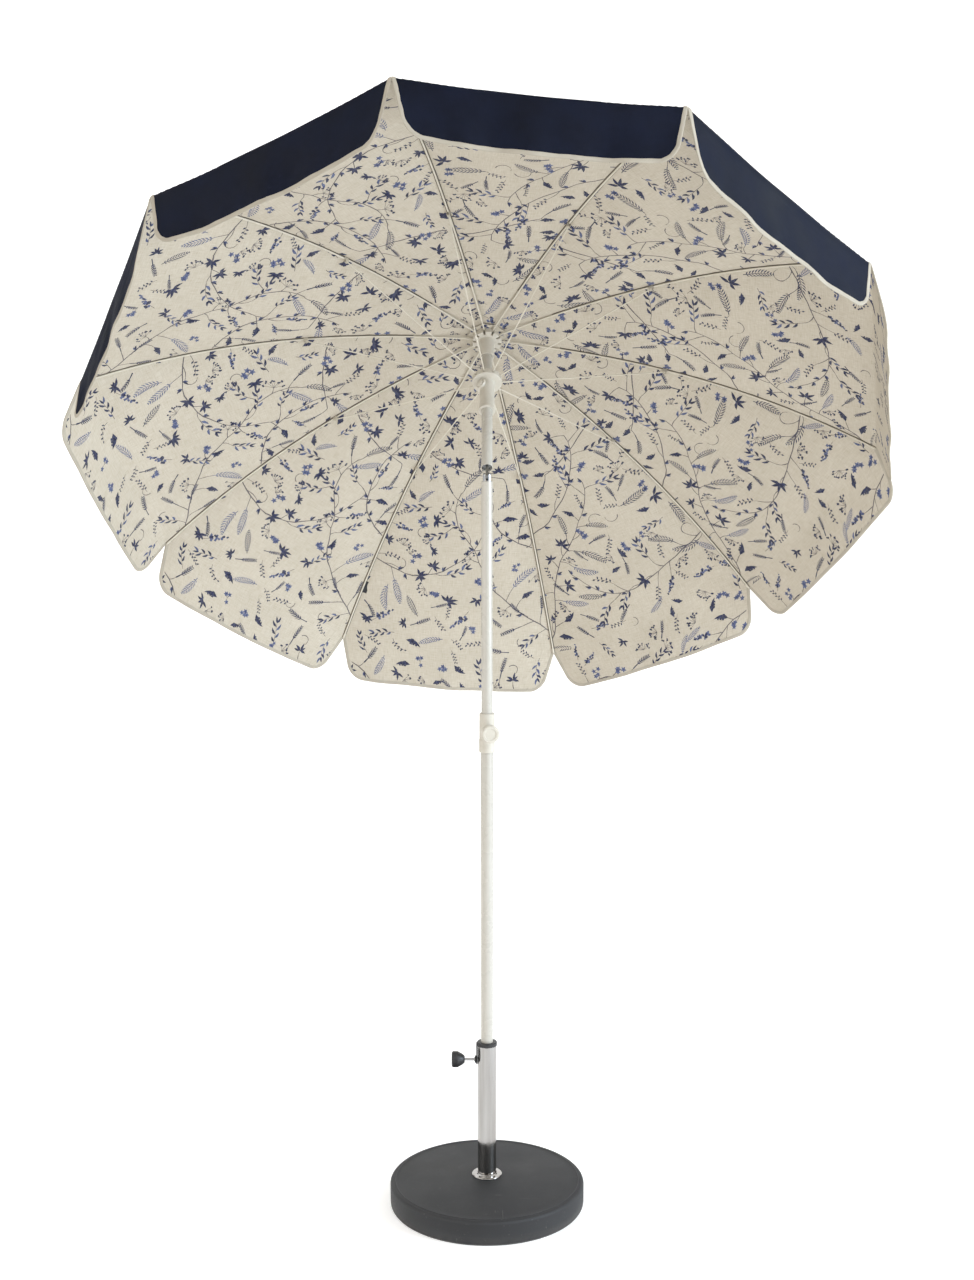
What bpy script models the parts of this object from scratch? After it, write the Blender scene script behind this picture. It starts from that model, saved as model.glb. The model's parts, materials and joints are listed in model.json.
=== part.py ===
"""Patio umbrella with a round weighted base, as separate solids.

Units are metres, +Z is up. The origin is the centre of the base's underside.
The mast stands on the Z axis. The head leans away from -Y about the tilt
pivot, so its pieces are built upright in head_frame, whose Z runs along the
upper pole and whose origin is the tilt pivot.
"""

import math

import bmesh
import bpy
from mathutils import Matrix, Vector

# Base and stand tube
BASE_R = 0.225
BASE_RIM_H = 0.055
BASE_DOME_H = 0.0115
SHELL_T = 0.0035
PLATE_T = 0.003
TUBE_R = 0.0215
TUBE_BORE_R = 0.0200
TUBE_TOP = 0.379
FLANGE_R = 0.035
GAP = 0.0004

# Clamp screw of the stand, along -X
CLAMP_Z = 0.345
STUD_R = 0.003
NUT_R = 0.0048
CLAMP_KNOB_R = 0.0185

# Mast
LOWER_R = 0.0140
LOWER_BORE_R = 0.0128
LOWER_TOP = 1.105
UPPER_R = 0.0125
UPPER_BORE_R = 0.0115
MIDDLE_FOOT = 0.62
MIDDLE_TOP = 1.676
SLEEVE_LOW = 1.067
SLEEVE_HIGH = 1.156
SLEEVE_R = 0.0172
HEIGHT_KNOB_Z = 1.115
HEIGHT_KNOB_R = 0.0205
HEIGHT_KNOB_TURN = math.radians(10)  # the knob faces a little to the right of -Y

# Tilt joint
TILT_Z = 1.6854
TILT = math.radians(45)
PIN_R = 0.0025
LINK_HALF_W = 0.0087
TONGUE_HALF_T = 0.003

# Head, measured along the upper pole from the tilt pivot
UPPER_FOOT = 0.027
UPPER_TOP = 0.4445
HUB_W = 0.4387
HINGE_R = 0.030
RUNNER_W = 0.301
RUNNER_FOOT = 0.204
WIRE_R = 0.0007
HUB_R = 0.0345
HUB_BORE_R = 0.0130
SLOT_HALF_W = 0.0028

# Frame and cloth
RIB_COUNT = 10
FIRST_RIB = math.radians(-11.3)  # rib 1, from the side that faces -Y
RIB_REACH = 0.912  # hub axis to rib tip
RIB_R = 0.0020
STRETCHER_R = 0.0015
STATIONS = (0.15, 0.28, 0.41, 0.54, 0.67, 0.79, RIB_REACH)  # bends of ribs and cloth
JOINT_REACH = 0.424
JOINT_DROP = 0.006
PROFILE = (0.0436, 0.1688, 0.1214)  # a rib's fall as a cubic of its reach
CLOTH_T = 0.0012
CLOTH_LIFT = 0.0032
CROWN_CLOTH_W = 0.4462
CLOTH_EYE_R = 0.0160
CLOTH_FLAT_R = 0.040  # the cloth lies flat on the crown this far out
CLOTH_SAG = 0.012
FLAP_H = 0.110
FLAP_CORNER_R = 0.036
FLAP_TAPER = 0.024  # how far each side of a flap leans in at its lower edge
FLAP_FLARE = 0.70  # largest share of the panel's slope in a flap's direction
FLAP_FLARE_GAIN = 1.05  # that share for each unit of the slope's steepness

ROUND = 24  # sides of a turned piece
WIDE_ROUND = 48


# ---------------------------------------------------------------- helpers

def clear_scene():
    for old in list(bpy.data.objects):
        bpy.data.objects.remove(old, do_unlink=True)


def make_collection(name):
    collection = bpy.data.collections.new(name)
    bpy.context.scene.collection.children.link(collection)
    return collection


def make_material(name, colour, roughness, metallic=0.0):
    material = bpy.data.materials.new(name)
    material.use_nodes = True
    shader = material.node_tree.nodes["Principled BSDF"]
    shader.inputs["Base Color"].default_value = (*colour, 1.0)
    shader.inputs["Roughness"].default_value = roughness
    shader.inputs["Metallic"].default_value = metallic
    return material


def make_frame(name, location, matrix=None):
    """An empty whose axes the pieces on it are built along."""
    empty = bpy.data.objects.new(name, None)
    parts.objects.link(empty)
    rotation = (matrix or Matrix.Identity(3)).to_4x4()
    empty.matrix_world = Matrix.Translation(location) @ rotation
    return empty


def place(obj, frame, collection, look=None):
    collection.objects.link(obj)
    obj.parent = frame
    if look:
        obj.data.materials.append(LOOKS[look])
    return obj


def smooth(mesh, angle=35):
    mesh.shade_smooth()
    mesh.set_sharp_from_angle(angle=math.radians(angle))


def turned(name, profile, look=None, frame=None, steps=ROUND, cutter=False):
    """Turns a profile of (radius, height) about Z, listed clockwise from the top.

    A profile that starts and ends on the axis is solid; any other is closed
    into a ring.
    """
    mesh = bpy.data.meshes.new(name)
    on_axis = profile[0][0] == 0
    count = len(profile)
    edges = [(i, i + 1) for i in range(count - 1)]
    if not on_axis:
        edges.append((count - 1, 0))
    mesh.from_pydata([(r, 0, z) for r, z in profile], edges, [])
    obj = bpy.data.objects.new(name, mesh)
    screw = obj.modifiers.new("Turn", "SCREW")
    screw.steps = steps
    screw.render_steps = steps
    screw.use_merge_vertices = True
    screw.merge_threshold = 0.00001
    screw.use_smooth_shade = True
    place(obj, frame, cutters if cutter else parts, look)
    if cutter:
        hide_cutter(obj)
    return obj


def ring(outer, inner, low, high):
    """Profile of a plain tube wall."""
    return [(inner, high), (outer, high), (outer, low), (inner, low)]


def rod(radius, low, high, chamfer=0.0):
    """Profile of a solid round bar, with chamfered ends."""
    return [
        (0, high),
        (radius - chamfer, high),
        (radius, high - chamfer),
        (radius, low + chamfer),
        (radius - chamfer, low),
        (0, low),
    ] if chamfer else [(0, high), (radius, high), (radius, low), (0, low)]


def hide_cutter(obj):
    obj.hide_render = True
    obj.display_type = "WIRE"


def box_cutter(name, low, high, frame=None, turn=0.0):
    """A box between two corners, turned about its frame's Z axis."""
    mesh = bpy.data.meshes.new(name)
    bm = bmesh.new()
    bmesh.ops.create_cube(bm, size=1)
    size = Vector(high) - Vector(low)
    centre = (Vector(high) + Vector(low)) / 2
    bmesh.ops.scale(bm, vec=size, verts=bm.verts)
    bmesh.ops.translate(bm, vec=centre, verts=bm.verts)
    bm.to_mesh(mesh)
    bm.free()
    obj = bpy.data.objects.new(name, mesh)
    obj.rotation_euler.z = turn
    place(obj, frame, cutters)
    hide_cutter(obj)
    return obj


def combine(obj, other, operation):
    modifier = obj.modifiers.new(operation.title(), "BOOLEAN")
    modifier.operation = operation
    modifier.solver = "EXACT"
    modifier.object = other


def bake(obj):
    """Replaces an object's mesh with its evaluated one, so that copies can share it."""
    bpy.context.view_layer.update()
    evaluated = obj.evaluated_get(bpy.context.evaluated_depsgraph_get())
    mesh = bpy.data.meshes.new_from_object(evaluated)
    mesh.name = obj.name
    obj.modifiers.clear()
    obj.data = mesh
    return mesh


def wire(name, points, radius, look=None, frame=None, resolution=1):
    """A round wire through points, as a mesh with welded caps."""
    curve = bpy.data.curves.new(name, "CURVE")
    curve.dimensions = "3D"
    curve.bevel_depth = radius
    curve.bevel_resolution = resolution
    curve.use_fill_caps = True
    spline = curve.splines.new("POLY")
    spline.points.add(len(points) - 1)
    for target, point in zip(spline.points, points):
        target.co = (*point, 1)
    guide = bpy.data.objects.new(name + "_curve", curve)
    cutters.objects.link(guide)
    bpy.context.view_layer.update()
    evaluated = guide.evaluated_get(bpy.context.evaluated_depsgraph_get())
    mesh = bpy.data.meshes.new_from_object(evaluated)
    mesh.name = name
    bm = bmesh.new()
    bm.from_mesh(mesh)
    bmesh.ops.remove_doubles(bm, verts=bm.verts, dist=0.00001)
    bmesh.ops.recalc_face_normals(bm, faces=bm.faces)
    bm.to_mesh(mesh)
    bm.free()
    bpy.data.objects.remove(guide, do_unlink=True)
    mesh.materials.clear()
    smooth(mesh)
    obj = bpy.data.objects.new(name, mesh)
    return place(obj, frame, parts, look)


def torus(
    name, major, minor, around, location, frame=None, sides=(24, 6), look=None
):
    """A ring of round wire about the named axis of its frame."""
    rotation = {"Z": (0, 0, 0), "Y": (math.pi / 2, 0, 0)}[around]
    bpy.ops.mesh.primitive_torus_add(
        major_radius=major,
        minor_radius=minor,
        major_segments=sides[0],
        minor_segments=sides[1],
    )
    obj = bpy.context.object
    obj.name = name
    obj.data.name = name
    for collection in list(obj.users_collection):
        collection.objects.unlink(obj)
    obj.location = location
    obj.rotation_euler = rotation
    smooth(obj.data)
    return place(obj, frame, parts if look else cutters, look)


# ---------------------------------------------------------------- the frame's shape

def rib_angle(number):
    return FIRST_RIB + 2 * math.pi * (number - 1) / RIB_COUNT


def rib_heading(number):
    """Turn about the head's Z that brings +X onto a rib's direction."""
    return rib_angle(number) - math.pi / 2


def fall(reach):
    """How far a rib has dropped below its hinge at this reach from the head's axis."""
    s = reach - HINGE_R
    return sum(c * s ** (power + 1) for power, c in enumerate(PROFILE))


def rib_point(number, reach, height):
    heading = rib_heading(number)
    return Vector((reach * math.cos(heading), reach * math.sin(heading), height))


def cloth_height(reach):
    """Height of the cloth's underside over a rib. It comes off the crown straight."""
    touch = STATIONS[0]
    if reach >= touch:
        return HUB_W - fall(reach) + CLOTH_LIFT
    share = max(0.0, reach - CLOTH_FLAT_R) / (touch - CLOTH_FLAT_R)
    end = HUB_W - fall(touch) + CLOTH_LIFT
    return CROWN_CLOTH_W + (end - CROWN_CLOTH_W) * share


# ---------------------------------------------------------------- stand

def dome(radius):
    """Height of the base's top at this radius."""
    return BASE_RIM_H + BASE_DOME_H * (1 - (radius / BASE_R) ** 2)


def arc(centre, radius, start, end, count):
    """Points on an arc of the profile plane, angles in degrees from +R towards +Z."""
    angles = [math.radians(start + (end - start) * i / count) for i in range(count + 1)]
    return [
        (centre[0] + radius * math.cos(a), centre[1] + radius * math.sin(a)) for a in angles
    ]


def make_base():
    edge_r = 0.007
    hole = TUBE_R + GAP
    flat = BASE_R - edge_r
    dome_stations = (hole, 0.09, 0.16)
    top = [(r, dome(r)) for r in dome_stations]
    rim_centre = (flat, dome(flat) - edge_r)
    foot_edge = [(BASE_R, 0.004), (BASE_R - 0.003, 0)]
    outer = top + arc(rim_centre, edge_r, 90, 0, 3) + foot_edge
    inner_r = BASE_R - SHELL_T
    under = [(r, dome(r) - SHELL_T) for r in reversed(dome_stations)]
    inner = [(inner_r, 0), (inner_r, dome(flat) - edge_r), (flat, dome(flat) - SHELL_T)]
    turned("base_shell", outer + inner + under, "base", steps=WIDE_ROUND)

    plate_r = inner_r - GAP
    turned("base_plate", rod(plate_r, 0, PLATE_T), "base_under", steps=WIDE_ROUND)

    foot_low = PLATE_T + GAP
    foot_high = 0.0095
    foot_r = 0.045
    turned(
        "tube_foot_flange",
        ring(foot_r, TUBE_R + GAP, foot_low, foot_high),
        "steel",
    )
    fill_top = [(r, dome(r) - SHELL_T - GAP) for r in dome_stations]
    fill = fill_top + [
        (plate_r - 0.006, dome(flat) - SHELL_T - 0.003),
        (plate_r, dome(flat) - 2 * edge_r),
        (plate_r, foot_low),
        (foot_r + GAP, foot_low),
        (foot_r + GAP, foot_high + GAP),
        (hole, foot_high + GAP),
    ]
    turned("base_ballast", fill, "concrete", steps=WIDE_ROUND)


def make_stand_tube():
    tube = turned(
        "base_tube",
        ring(TUBE_R, TUBE_BORE_R, PLATE_T + GAP, TUBE_TOP),
        "chrome",
        steps=40,
    )
    combine(tube, clamp_hole, "DIFFERENCE")

    low = dome(TUBE_R) + GAP
    high = low + 0.0065
    profile = [
        (TUBE_R + GAP, high),
        (TUBE_R + 0.0022, high),
        (TUBE_R + 0.0040, low + 0.0042),
        (FLANGE_R - 0.0020, low + 0.0036),
        (FLANGE_R, low + 0.0020),
        (FLANGE_R, low),
        (TUBE_R + GAP, low),
    ]
    turned("base_flange", profile, "chrome", steps=32)


def make_collar():
    """Plastic lining of the tube's mouth, with a lip, a strap and a boss outside."""
    liner_r = TUBE_BORE_R - GAP
    bore = 0.0163
    mouth_r = 0.0150
    lip_r = 0.0232
    lip_low = TUBE_TOP + GAP
    lip_high = lip_low + 0.0085
    lining_low = CLAMP_Z - 0.020
    step_high = lip_low + 0.0040
    edge = 0.0015
    profile = [
        (mouth_r, lip_high),
        (lip_r - edge, lip_high),
        (lip_r, lip_high - edge),
        (lip_r, lip_low),
        (liner_r, lip_low),
        (liner_r, lining_low),
        (bore, lining_low),
        (bore, step_high),
        (mouth_r, step_high),
    ]
    collar = turned("tube_collar", profile, "black_plastic", steps=28)
    strap = box_cutter(
        "strap_shape",
        (-TUBE_R - 0.0034, -0.0055, CLAMP_Z - 0.010),
        (-TUBE_R - GAP, 0.0055, lip_low + 0.005),
    )
    boss = turned(
        "boss_shape",
        rod(0.0085, TUBE_R + GAP, TUBE_R + 0.0065),
        frame=clamp_frame,
        cutter=True,
    )
    combine(collar, strap, "UNION")
    combine(collar, boss, "UNION")
    combine(collar, clamp_hole, "DIFFERENCE")

    bush = ring(0.0159, 0.0144, CLAMP_Z - 0.018, lip_low + 0.0035)
    turned("reducer_bush", bush, "black_plastic", steps=32)
    turned(
        "clamp_nut",
        ring(NUT_R, STUD_R + GAP, bore + GAP, TUBE_R + 0.0080),
        "steel",
        clamp_frame,
    )


def make_knob(name, low, high, radius, neck, socket_end, frame, look, lobes):
    """A knob turned about its screw, with a blind socket and finger flutes."""
    dish = high - 0.0015
    edge = 0.003
    profile = [
        (0, dish),
        (radius * 0.60, dish),
        (radius * 0.66, high),
        (radius - edge, high),
        (radius, high - edge),
        (radius, high - (high - low) * 0.45),
        (neck + 0.004, low + 0.004),
        (neck, low),
        (STUD_R + GAP, low),
        (STUD_R + GAP, socket_end),
        (0, socket_end),
    ]
    knob = turned(name, profile, look, frame, steps=32)
    if lobes:
        flute_r = radius * 0.42
        for index in range(lobes):
            angle = 2 * math.pi * (index + 0.5) / lobes
            flute = turned(
                f"{name}_flute_{index}",
                rod(flute_r, low - 0.01, high + 0.01),
                frame=frame,
                steps=12,
                cutter=True,
            )
            reach = radius + flute_r * 0.80
            flute.location = (reach * math.cos(angle), reach * math.sin(angle), 0)
            combine(knob, flute, "DIFFERENCE")
    return knob


def make_clamp():
    tip = 0.0163
    end = 0.0700
    turned("clamp_screw", rod(STUD_R, tip, end, 0.0005), "steel", clamp_frame, steps=16)
    make_knob(
        "clamp_knob", 0.0515, 0.0815, CLAMP_KNOB_R, 0.0075, end + GAP, clamp_frame,
        "black_plastic", 6,
    )


# ---------------------------------------------------------------- mast

def make_lower_mast():
    foot = PLATE_T + GAP
    cap_high = foot + 0.008
    cap_r = LOWER_R - 0.0002
    turned(
        "lower_pole",
        ring(LOWER_R, LOWER_BORE_R, cap_high + GAP, LOWER_TOP),
        "white_pole",
    )
    plug = [
        (0, foot + 0.028),
        (LOWER_BORE_R - GAP, foot + 0.028),
        (LOWER_BORE_R - GAP, cap_high),
        (cap_r, cap_high),
        (cap_r, foot + 0.002),
        (LOWER_R - 0.0020, foot),
        (0, foot),
    ]
    turned("pole_foot_cap", plug, "black_plastic")

    shoulder = LOWER_TOP + GAP
    sleeve_profile = [
        (UPPER_R + GAP, SLEEVE_HIGH),
        (SLEEVE_R - 0.0015, SLEEVE_HIGH),
        (SLEEVE_R, SLEEVE_HIGH - 0.0015),
        (SLEEVE_R, HEIGHT_KNOB_Z - 0.018),
        (SLEEVE_R + 0.0008, HEIGHT_KNOB_Z - 0.019),
        (SLEEVE_R + 0.0008, SLEEVE_LOW + 0.0015),
        (SLEEVE_R - 0.0005, SLEEVE_LOW),
        (LOWER_R + GAP, SLEEVE_LOW),
        (LOWER_R + GAP, shoulder),
        (UPPER_R + GAP, shoulder),
    ]
    sleeve = turned("height_sleeve", sleeve_profile, "white_plastic", steps=28)
    boss = turned(
        "height_boss_shape",
        ring(0.0110, 0.0040, UPPER_R + 0.0020, 0.0240),
        frame=height_frame,
        cutter=True,
    )
    hole = turned(
        "height_hole_cutter",
        rod(STUD_R + GAP, UPPER_R - 0.002, 0.0300),
        frame=height_frame,
        cutter=True,
    )
    combine(sleeve, boss, "UNION")
    combine(sleeve, hole, "DIFFERENCE")


def make_height_clamp():
    tip = UPPER_R + GAP
    end = 0.0390
    turned("height_screw", rod(STUD_R, tip, end, 0.0005), "steel", height_frame, steps=16)
    make_knob(
        "height_knob", 0.0246, 0.0470, HEIGHT_KNOB_R, 0.0120, end + GAP, height_frame,
        "white_plastic", 0,
    )


def make_middle_mast():
    turned(
        "middle_pole",
        ring(UPPER_R, UPPER_BORE_R, MIDDLE_FOOT, MIDDLE_TOP),
        "white_pole",
    )
    plug = [
        (0, MIDDLE_FOOT + 0.020),
        (UPPER_BORE_R - GAP, MIDDLE_FOOT + 0.020),
        (UPPER_BORE_R - GAP, MIDDLE_FOOT - GAP),
        (UPPER_R, MIDDLE_FOOT - GAP),
        (UPPER_R - 0.0015, MIDDLE_FOOT - 0.006),
        (0, MIDDLE_FOOT - 0.006),
    ]
    turned("middle_pole_plug", plug, "white_plastic")


# ---------------------------------------------------------------- tilt joint

def make_tilt_joint():
    root_low = MIDDLE_TOP - 0.075 - TILT_Z
    fork_top = 0.0085
    slot_floor = MIDDLE_TOP + 0.0008 - TILT_Z
    fork = turned(
        "tilt_fork",
        rod(UPPER_BORE_R - GAP, root_low, fork_top, 0.0025),
        "zinc",
        pivot_frame,
    )
    side = UPPER_BORE_R + 0.002
    above = fork_top + 0.005
    for sign in (-1, 1):
        trim = box_cutter(
            f"fork_side_{sign}",
            (min(sign * LINK_HALF_W, sign * side), -side, slot_floor),
            (max(sign * LINK_HALF_W, sign * side), side, above),
            pivot_frame,
        )
        combine(fork, trim, "DIFFERENCE")
    slot_half = TONGUE_HALF_T + GAP
    slot = box_cutter(
        "fork_slot", (-slot_half, -side, slot_floor), (slot_half, side, above), pivot_frame
    )
    combine(fork, slot, "DIFFERENCE")
    combine(fork, pin_hole, "DIFFERENCE")

    plug_low = UPPER_FOOT + 0.004
    tongue = turned(
        "tilt_tongue",
        rod(UPPER_BORE_R - GAP, plug_low, plug_low + 0.055, 0.0010),
        "zinc",
        head_frame,
    )
    blade = box_cutter(
        "tongue_blade",
        (-TONGUE_HALF_T, -0.0070, 0.0),
        (TONGUE_HALF_T, 0.0070, plug_low + 0.004),
        head_frame,
    )
    eye = turned(
        "tongue_eye",
        rod(0.0070, -TONGUE_HALF_T, TONGUE_HALF_T),
        frame=tongue_pin_frame,
        cutter=True,
    )
    combine(blade, eye, "UNION")
    combine(tongue, blade, "UNION")
    combine(tongue, pin_hole, "DIFFERENCE")

    turned(
        "tilt_pin",
        rod(PIN_R, -LINK_HALF_W - 0.0010, LINK_HALF_W + 0.0010, 0.0006),
        "steel",
        pin_frame,
        steps=16,
    )


# ---------------------------------------------------------------- head

def cut_hinge_slots(hub, name, wire_height, low, high):
    """Cuts one slot a rib and the groove of the hinge wire into a hub."""
    for number in range(1, RIB_COUNT + 1):
        slot = box_cutter(
            f"{name}_slot_{number:02d}",
            (HINGE_R - 0.0045, -SLOT_HALF_W, low),
            (HUB_R + 0.005, SLOT_HALF_W, high),
            head_frame,
            rib_heading(number),
        )
        combine(hub, slot, "DIFFERENCE")
    groove = torus(
        f"{name}_groove", HINGE_R, WIRE_R + GAP, "Z", (0, 0, wire_height), head_frame
    )
    hide_cutter(groove)
    combine(hub, groove, "DIFFERENCE")
    torus(
        f"{name}_wire", HINGE_R, WIRE_R, "Z", (0, 0, wire_height), head_frame, look="steel"
    )


def make_upper_pole():
    turned(
        "upper_pole",
        ring(UPPER_R, UPPER_BORE_R, UPPER_FOOT, UPPER_TOP),
        "white_pole",
        head_frame,
    )


def make_crown():
    hub_low = HUB_W - 0.0095
    hub_high = CROWN_CLOTH_W - GAP
    sleeve_r = 0.0168
    sleeve_low = hub_low - 0.050
    edge = 0.001
    profile = [
        (HUB_BORE_R, hub_high),
        (HUB_R - edge, hub_high),
        (HUB_R, hub_high - edge),
        (HUB_R, hub_low + edge),
        (HUB_R - edge, hub_low),
        (sleeve_r + 0.003, hub_low),
        (sleeve_r, hub_low - 0.008),
        (sleeve_r, sleeve_low + 2 * edge),
        (sleeve_r - edge, sleeve_low),
        (HUB_BORE_R, sleeve_low),
    ]
    crown = turned("crown", profile, "white_plastic", head_frame, steps=24)
    cut_hinge_slots(crown, "crown", HUB_W, hub_low - 0.005, HUB_W + 0.0042)

    cap_low = CROWN_CLOTH_W + CLOTH_T + GAP
    stem_r = UPPER_BORE_R - GAP
    cap_r = 0.026
    finial = [
        (0, cap_low + 0.026),
        (0.005, cap_low + 0.025),
        (0.009, cap_low + 0.021),
        (0.010, cap_low + 0.016),
        (0.011, cap_low + 0.011),
        (cap_r - 0.004, cap_low + 0.006),
        (cap_r, cap_low + 0.003),
        (cap_r, cap_low),
        (stem_r, cap_low),
        (stem_r, UPPER_TOP - 0.025),
        (0, UPPER_TOP - 0.025),
    ]
    turned("finial", finial, "white_plastic", head_frame)


def make_runner():
    hub_low = RUNNER_W - 0.0075
    hub_high = RUNNER_W + 0.0080
    sleeve_r = 0.0172
    sleeve_high = hub_high + 0.016
    edge = 0.001
    foot_r = sleeve_r + 0.002
    profile = [
        (HUB_BORE_R, sleeve_high),
        (sleeve_r - edge, sleeve_high),
        (sleeve_r, sleeve_high - 2 * edge),
        (sleeve_r, hub_high + 2 * edge),
        (sleeve_r + 0.003, hub_high),
        (HUB_R - edge, hub_high),
        (HUB_R, hub_high - edge),
        (HUB_R, hub_low + edge),
        (HUB_R - edge, hub_low),
        (foot_r, hub_low),
        (sleeve_r, hub_low - 0.004),
        (sleeve_r, RUNNER_FOOT + 0.010),
        (foot_r, RUNNER_FOOT + 0.004),
        (foot_r, RUNNER_FOOT),
        (HUB_BORE_R, RUNNER_FOOT),
    ]
    runner = turned("runner", profile, "white_plastic", head_frame, steps=24)
    cut_hinge_slots(runner, "runner", RUNNER_W, RUNNER_W - 0.0032, hub_high + 0.005)
    housing = turned(
        "button_housing_shape",
        rod(0.0125, HUB_BORE_R + 0.0025, 0.0225, 0.0008),
        frame=button_frame,
        cutter=True,
    )
    socket = turned(
        "button_socket_cutter",
        rod(0.0094, HUB_BORE_R + 0.0018, 0.0300),
        frame=button_frame,
        cutter=True,
    )
    combine(runner, housing, "UNION")
    combine(runner, socket, "DIFFERENCE")
    button_r = 0.0090
    button_back = 0.0186
    button = [
        (0, 0.0268),
        (0.0050, 0.0264),
        (0.0080, 0.0254),
        (button_r, 0.0240),
        (button_r, button_back),
        (0, button_back),
    ]
    turned("runner_button", button, "white_plastic", button_frame, steps=24)


def hinged_wire(name, points, radius, look):
    """A wire whose first point is its hinge eye, about Y at the origin."""
    eye_r = 0.0021
    eye = torus(name + "_eye", eye_r, 0.0009, "Y", (0, 0, 0), sides=(8, 4))
    hide_cutter(eye)
    body = wire(name, points, radius, look)
    combine(body, eye, "UNION")
    mesh = bake(body)
    smooth(mesh)
    return mesh, body


def make_frame_wires():
    """Ten ribs on the crown's wire and ten stretchers on the runner's wire."""
    start = 0.0022
    reaches = [start] + [reach - HINGE_R for reach in STATIONS]
    rib_points = [(s, 0, -fall(HINGE_R + s)) for s in reaches]
    rib_mesh, rib_master = hinged_wire("rib_master", rib_points, RIB_R, "cream_metal")

    rise = HUB_W - fall(JOINT_REACH) - JOINT_DROP - RUNNER_W
    run = JOINT_REACH - HINGE_R
    length = math.hypot(run, rise)
    first = start / length
    stretcher_points = [(run * first, 0, rise * first), (run, 0, rise)]
    stretcher_mesh, stretcher_master = hinged_wire(
        "stretcher_master", stretcher_points, STRETCHER_R, "cream_metal"
    )

    for number in range(1, RIB_COUNT + 1):
        for kind, mesh, height in (
            ("rib", rib_mesh, HUB_W),
            ("stretcher", stretcher_mesh, RUNNER_W),
        ):
            copy = bpy.data.objects.new(f"{kind}_{number:02d}", mesh)
            place(copy, head_frame, parts)
            copy.location = rib_point(number, HINGE_R, height)
            copy.rotation_euler.z = rib_heading(number)
    for master in (rib_master, stretcher_master):
        bpy.data.objects.remove(master, do_unlink=True)


# ---------------------------------------------------------------- canopy

LATERAL = (-1.0, -0.16, -0.03, 0.0, 0.03, 0.16, 1.0)
REACHES = (CLOTH_EYE_R, CLOTH_FLAT_R, *STATIONS)
FLAP_STEPS = (0.55, 1.0)


def flap_drop(distance):
    """Depth of the valance at this distance along the rim from a rib's tip."""
    inset = FLAP_CORNER_R - min(distance, FLAP_CORNER_R)
    return FLAP_H - FLAP_CORNER_R + math.sqrt(FLAP_CORNER_R**2 - inset**2)


def panel_point(number, side, reach):
    """A point of the cloth's underside. side runs from -1 to 1 between the middles of
    the two panels that meet on this rib."""
    chord = 2 * reach * math.sin(math.pi / RIB_COUNT)
    share = abs(side) * (0.5 - GAP / chord)
    neighbour = number + (1 if side > 0 else -1)
    height = cloth_height(reach)
    here = rib_point(number, reach, height)
    there = rib_point(neighbour, reach, height)
    outward = max(0.0, reach - CLOTH_FLAT_R) / (RIB_REACH - CLOTH_FLAT_R)
    sag = CLOTH_SAG * math.sin(math.pi * outward) * 4 * share * (1 - share)
    return here.lerp(there, share) - Vector((0, 0, sag))


def flap_direction(panel):
    """Which way the flap of a panel hangs: straight down where the panel rises, and
    more in line with the panel where it falls steeply."""
    step = math.pi / RIB_COUNT
    middle = rib_heading(panel) + step
    edge = 0.001  # short run to the rim, over which the panel's slope is read
    slope = Vector(
        (
            edge * math.cos(step) * math.cos(middle),
            edge * math.cos(step) * math.sin(middle),
            cloth_height(RIB_REACH) - cloth_height(RIB_REACH - edge),
        )
    ).normalized()
    down = Vector((0, math.sin(TILT), -math.cos(TILT)))
    share = min(FLAP_FLARE, max(0.0, FLAP_FLARE_GAIN * slope.dot(down)))
    return down.lerp(slope, share).normalized()


def make_canopy_segment(number):
    """Half a panel and half a valance flap on each side of one rib."""
    columns = len(LATERAL)
    rows = len(REACHES) + len(FLAP_STEPS)
    hang = {1: flap_direction(number), -1: flap_direction(number - 1)}
    rim_chord = 2 * RIB_REACH * math.sin(math.pi / RIB_COUNT)

    bm = bmesh.new()
    bmesh.ops.create_grid(bm, x_segments=columns - 1, y_segments=rows - 1, size=1)
    slit = []
    for vert in bm.verts:
        column = round((vert.co.x + 1) / 2 * (columns - 1))
        row = round((vert.co.y + 1) / 2 * (rows - 1))
        side = LATERAL[column]
        if row < len(REACHES):
            vert.co = panel_point(number, side, REACHES[row])
            continue
        if side == 0:
            slit.append(vert)
            continue
        way = 1 if side > 0 else -1
        depth = flap_drop(abs(side) / 2 * rim_chord) * FLAP_STEPS[row - len(REACHES)]
        inward = panel_point(number, way, RIB_REACH) - panel_point(number, 0, RIB_REACH)
        lean = inward.normalized() * FLAP_TAPER * depth / FLAP_H * (1 - abs(side))
        vert.co = panel_point(number, side, RIB_REACH) + hang[way] * depth + lean
    bmesh.ops.delete(bm, geom=slit, context="VERTS")
    bmesh.ops.recalc_face_normals(bm, faces=bm.faces)
    bm.faces.ensure_lookup_table()
    inner_faces = [f for f in bm.faces if f.calc_center_median().xy.length < 0.3]
    if sum(f.normal.z for f in inner_faces) < 0:
        bmesh.ops.reverse_faces(bm, faces=bm.faces)
    name = f"canopy_{number:02d}"
    mesh = bpy.data.meshes.new(name)
    bm.to_mesh(mesh)
    bm.free()
    segment = bpy.data.objects.new(name, mesh)
    solidify = segment.modifiers.new("Cloth", "SOLIDIFY")
    solidify.thickness = CLOTH_T
    solidify.offset = 1
    solidify.use_even_offset = True
    smooth(mesh)
    place(segment, head_frame, parts, "cloth")


# ---------------------------------------------------------------- the model

clear_scene()
parts = make_collection("patio_umbrella")
cutters = make_collection("cutters")

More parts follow.
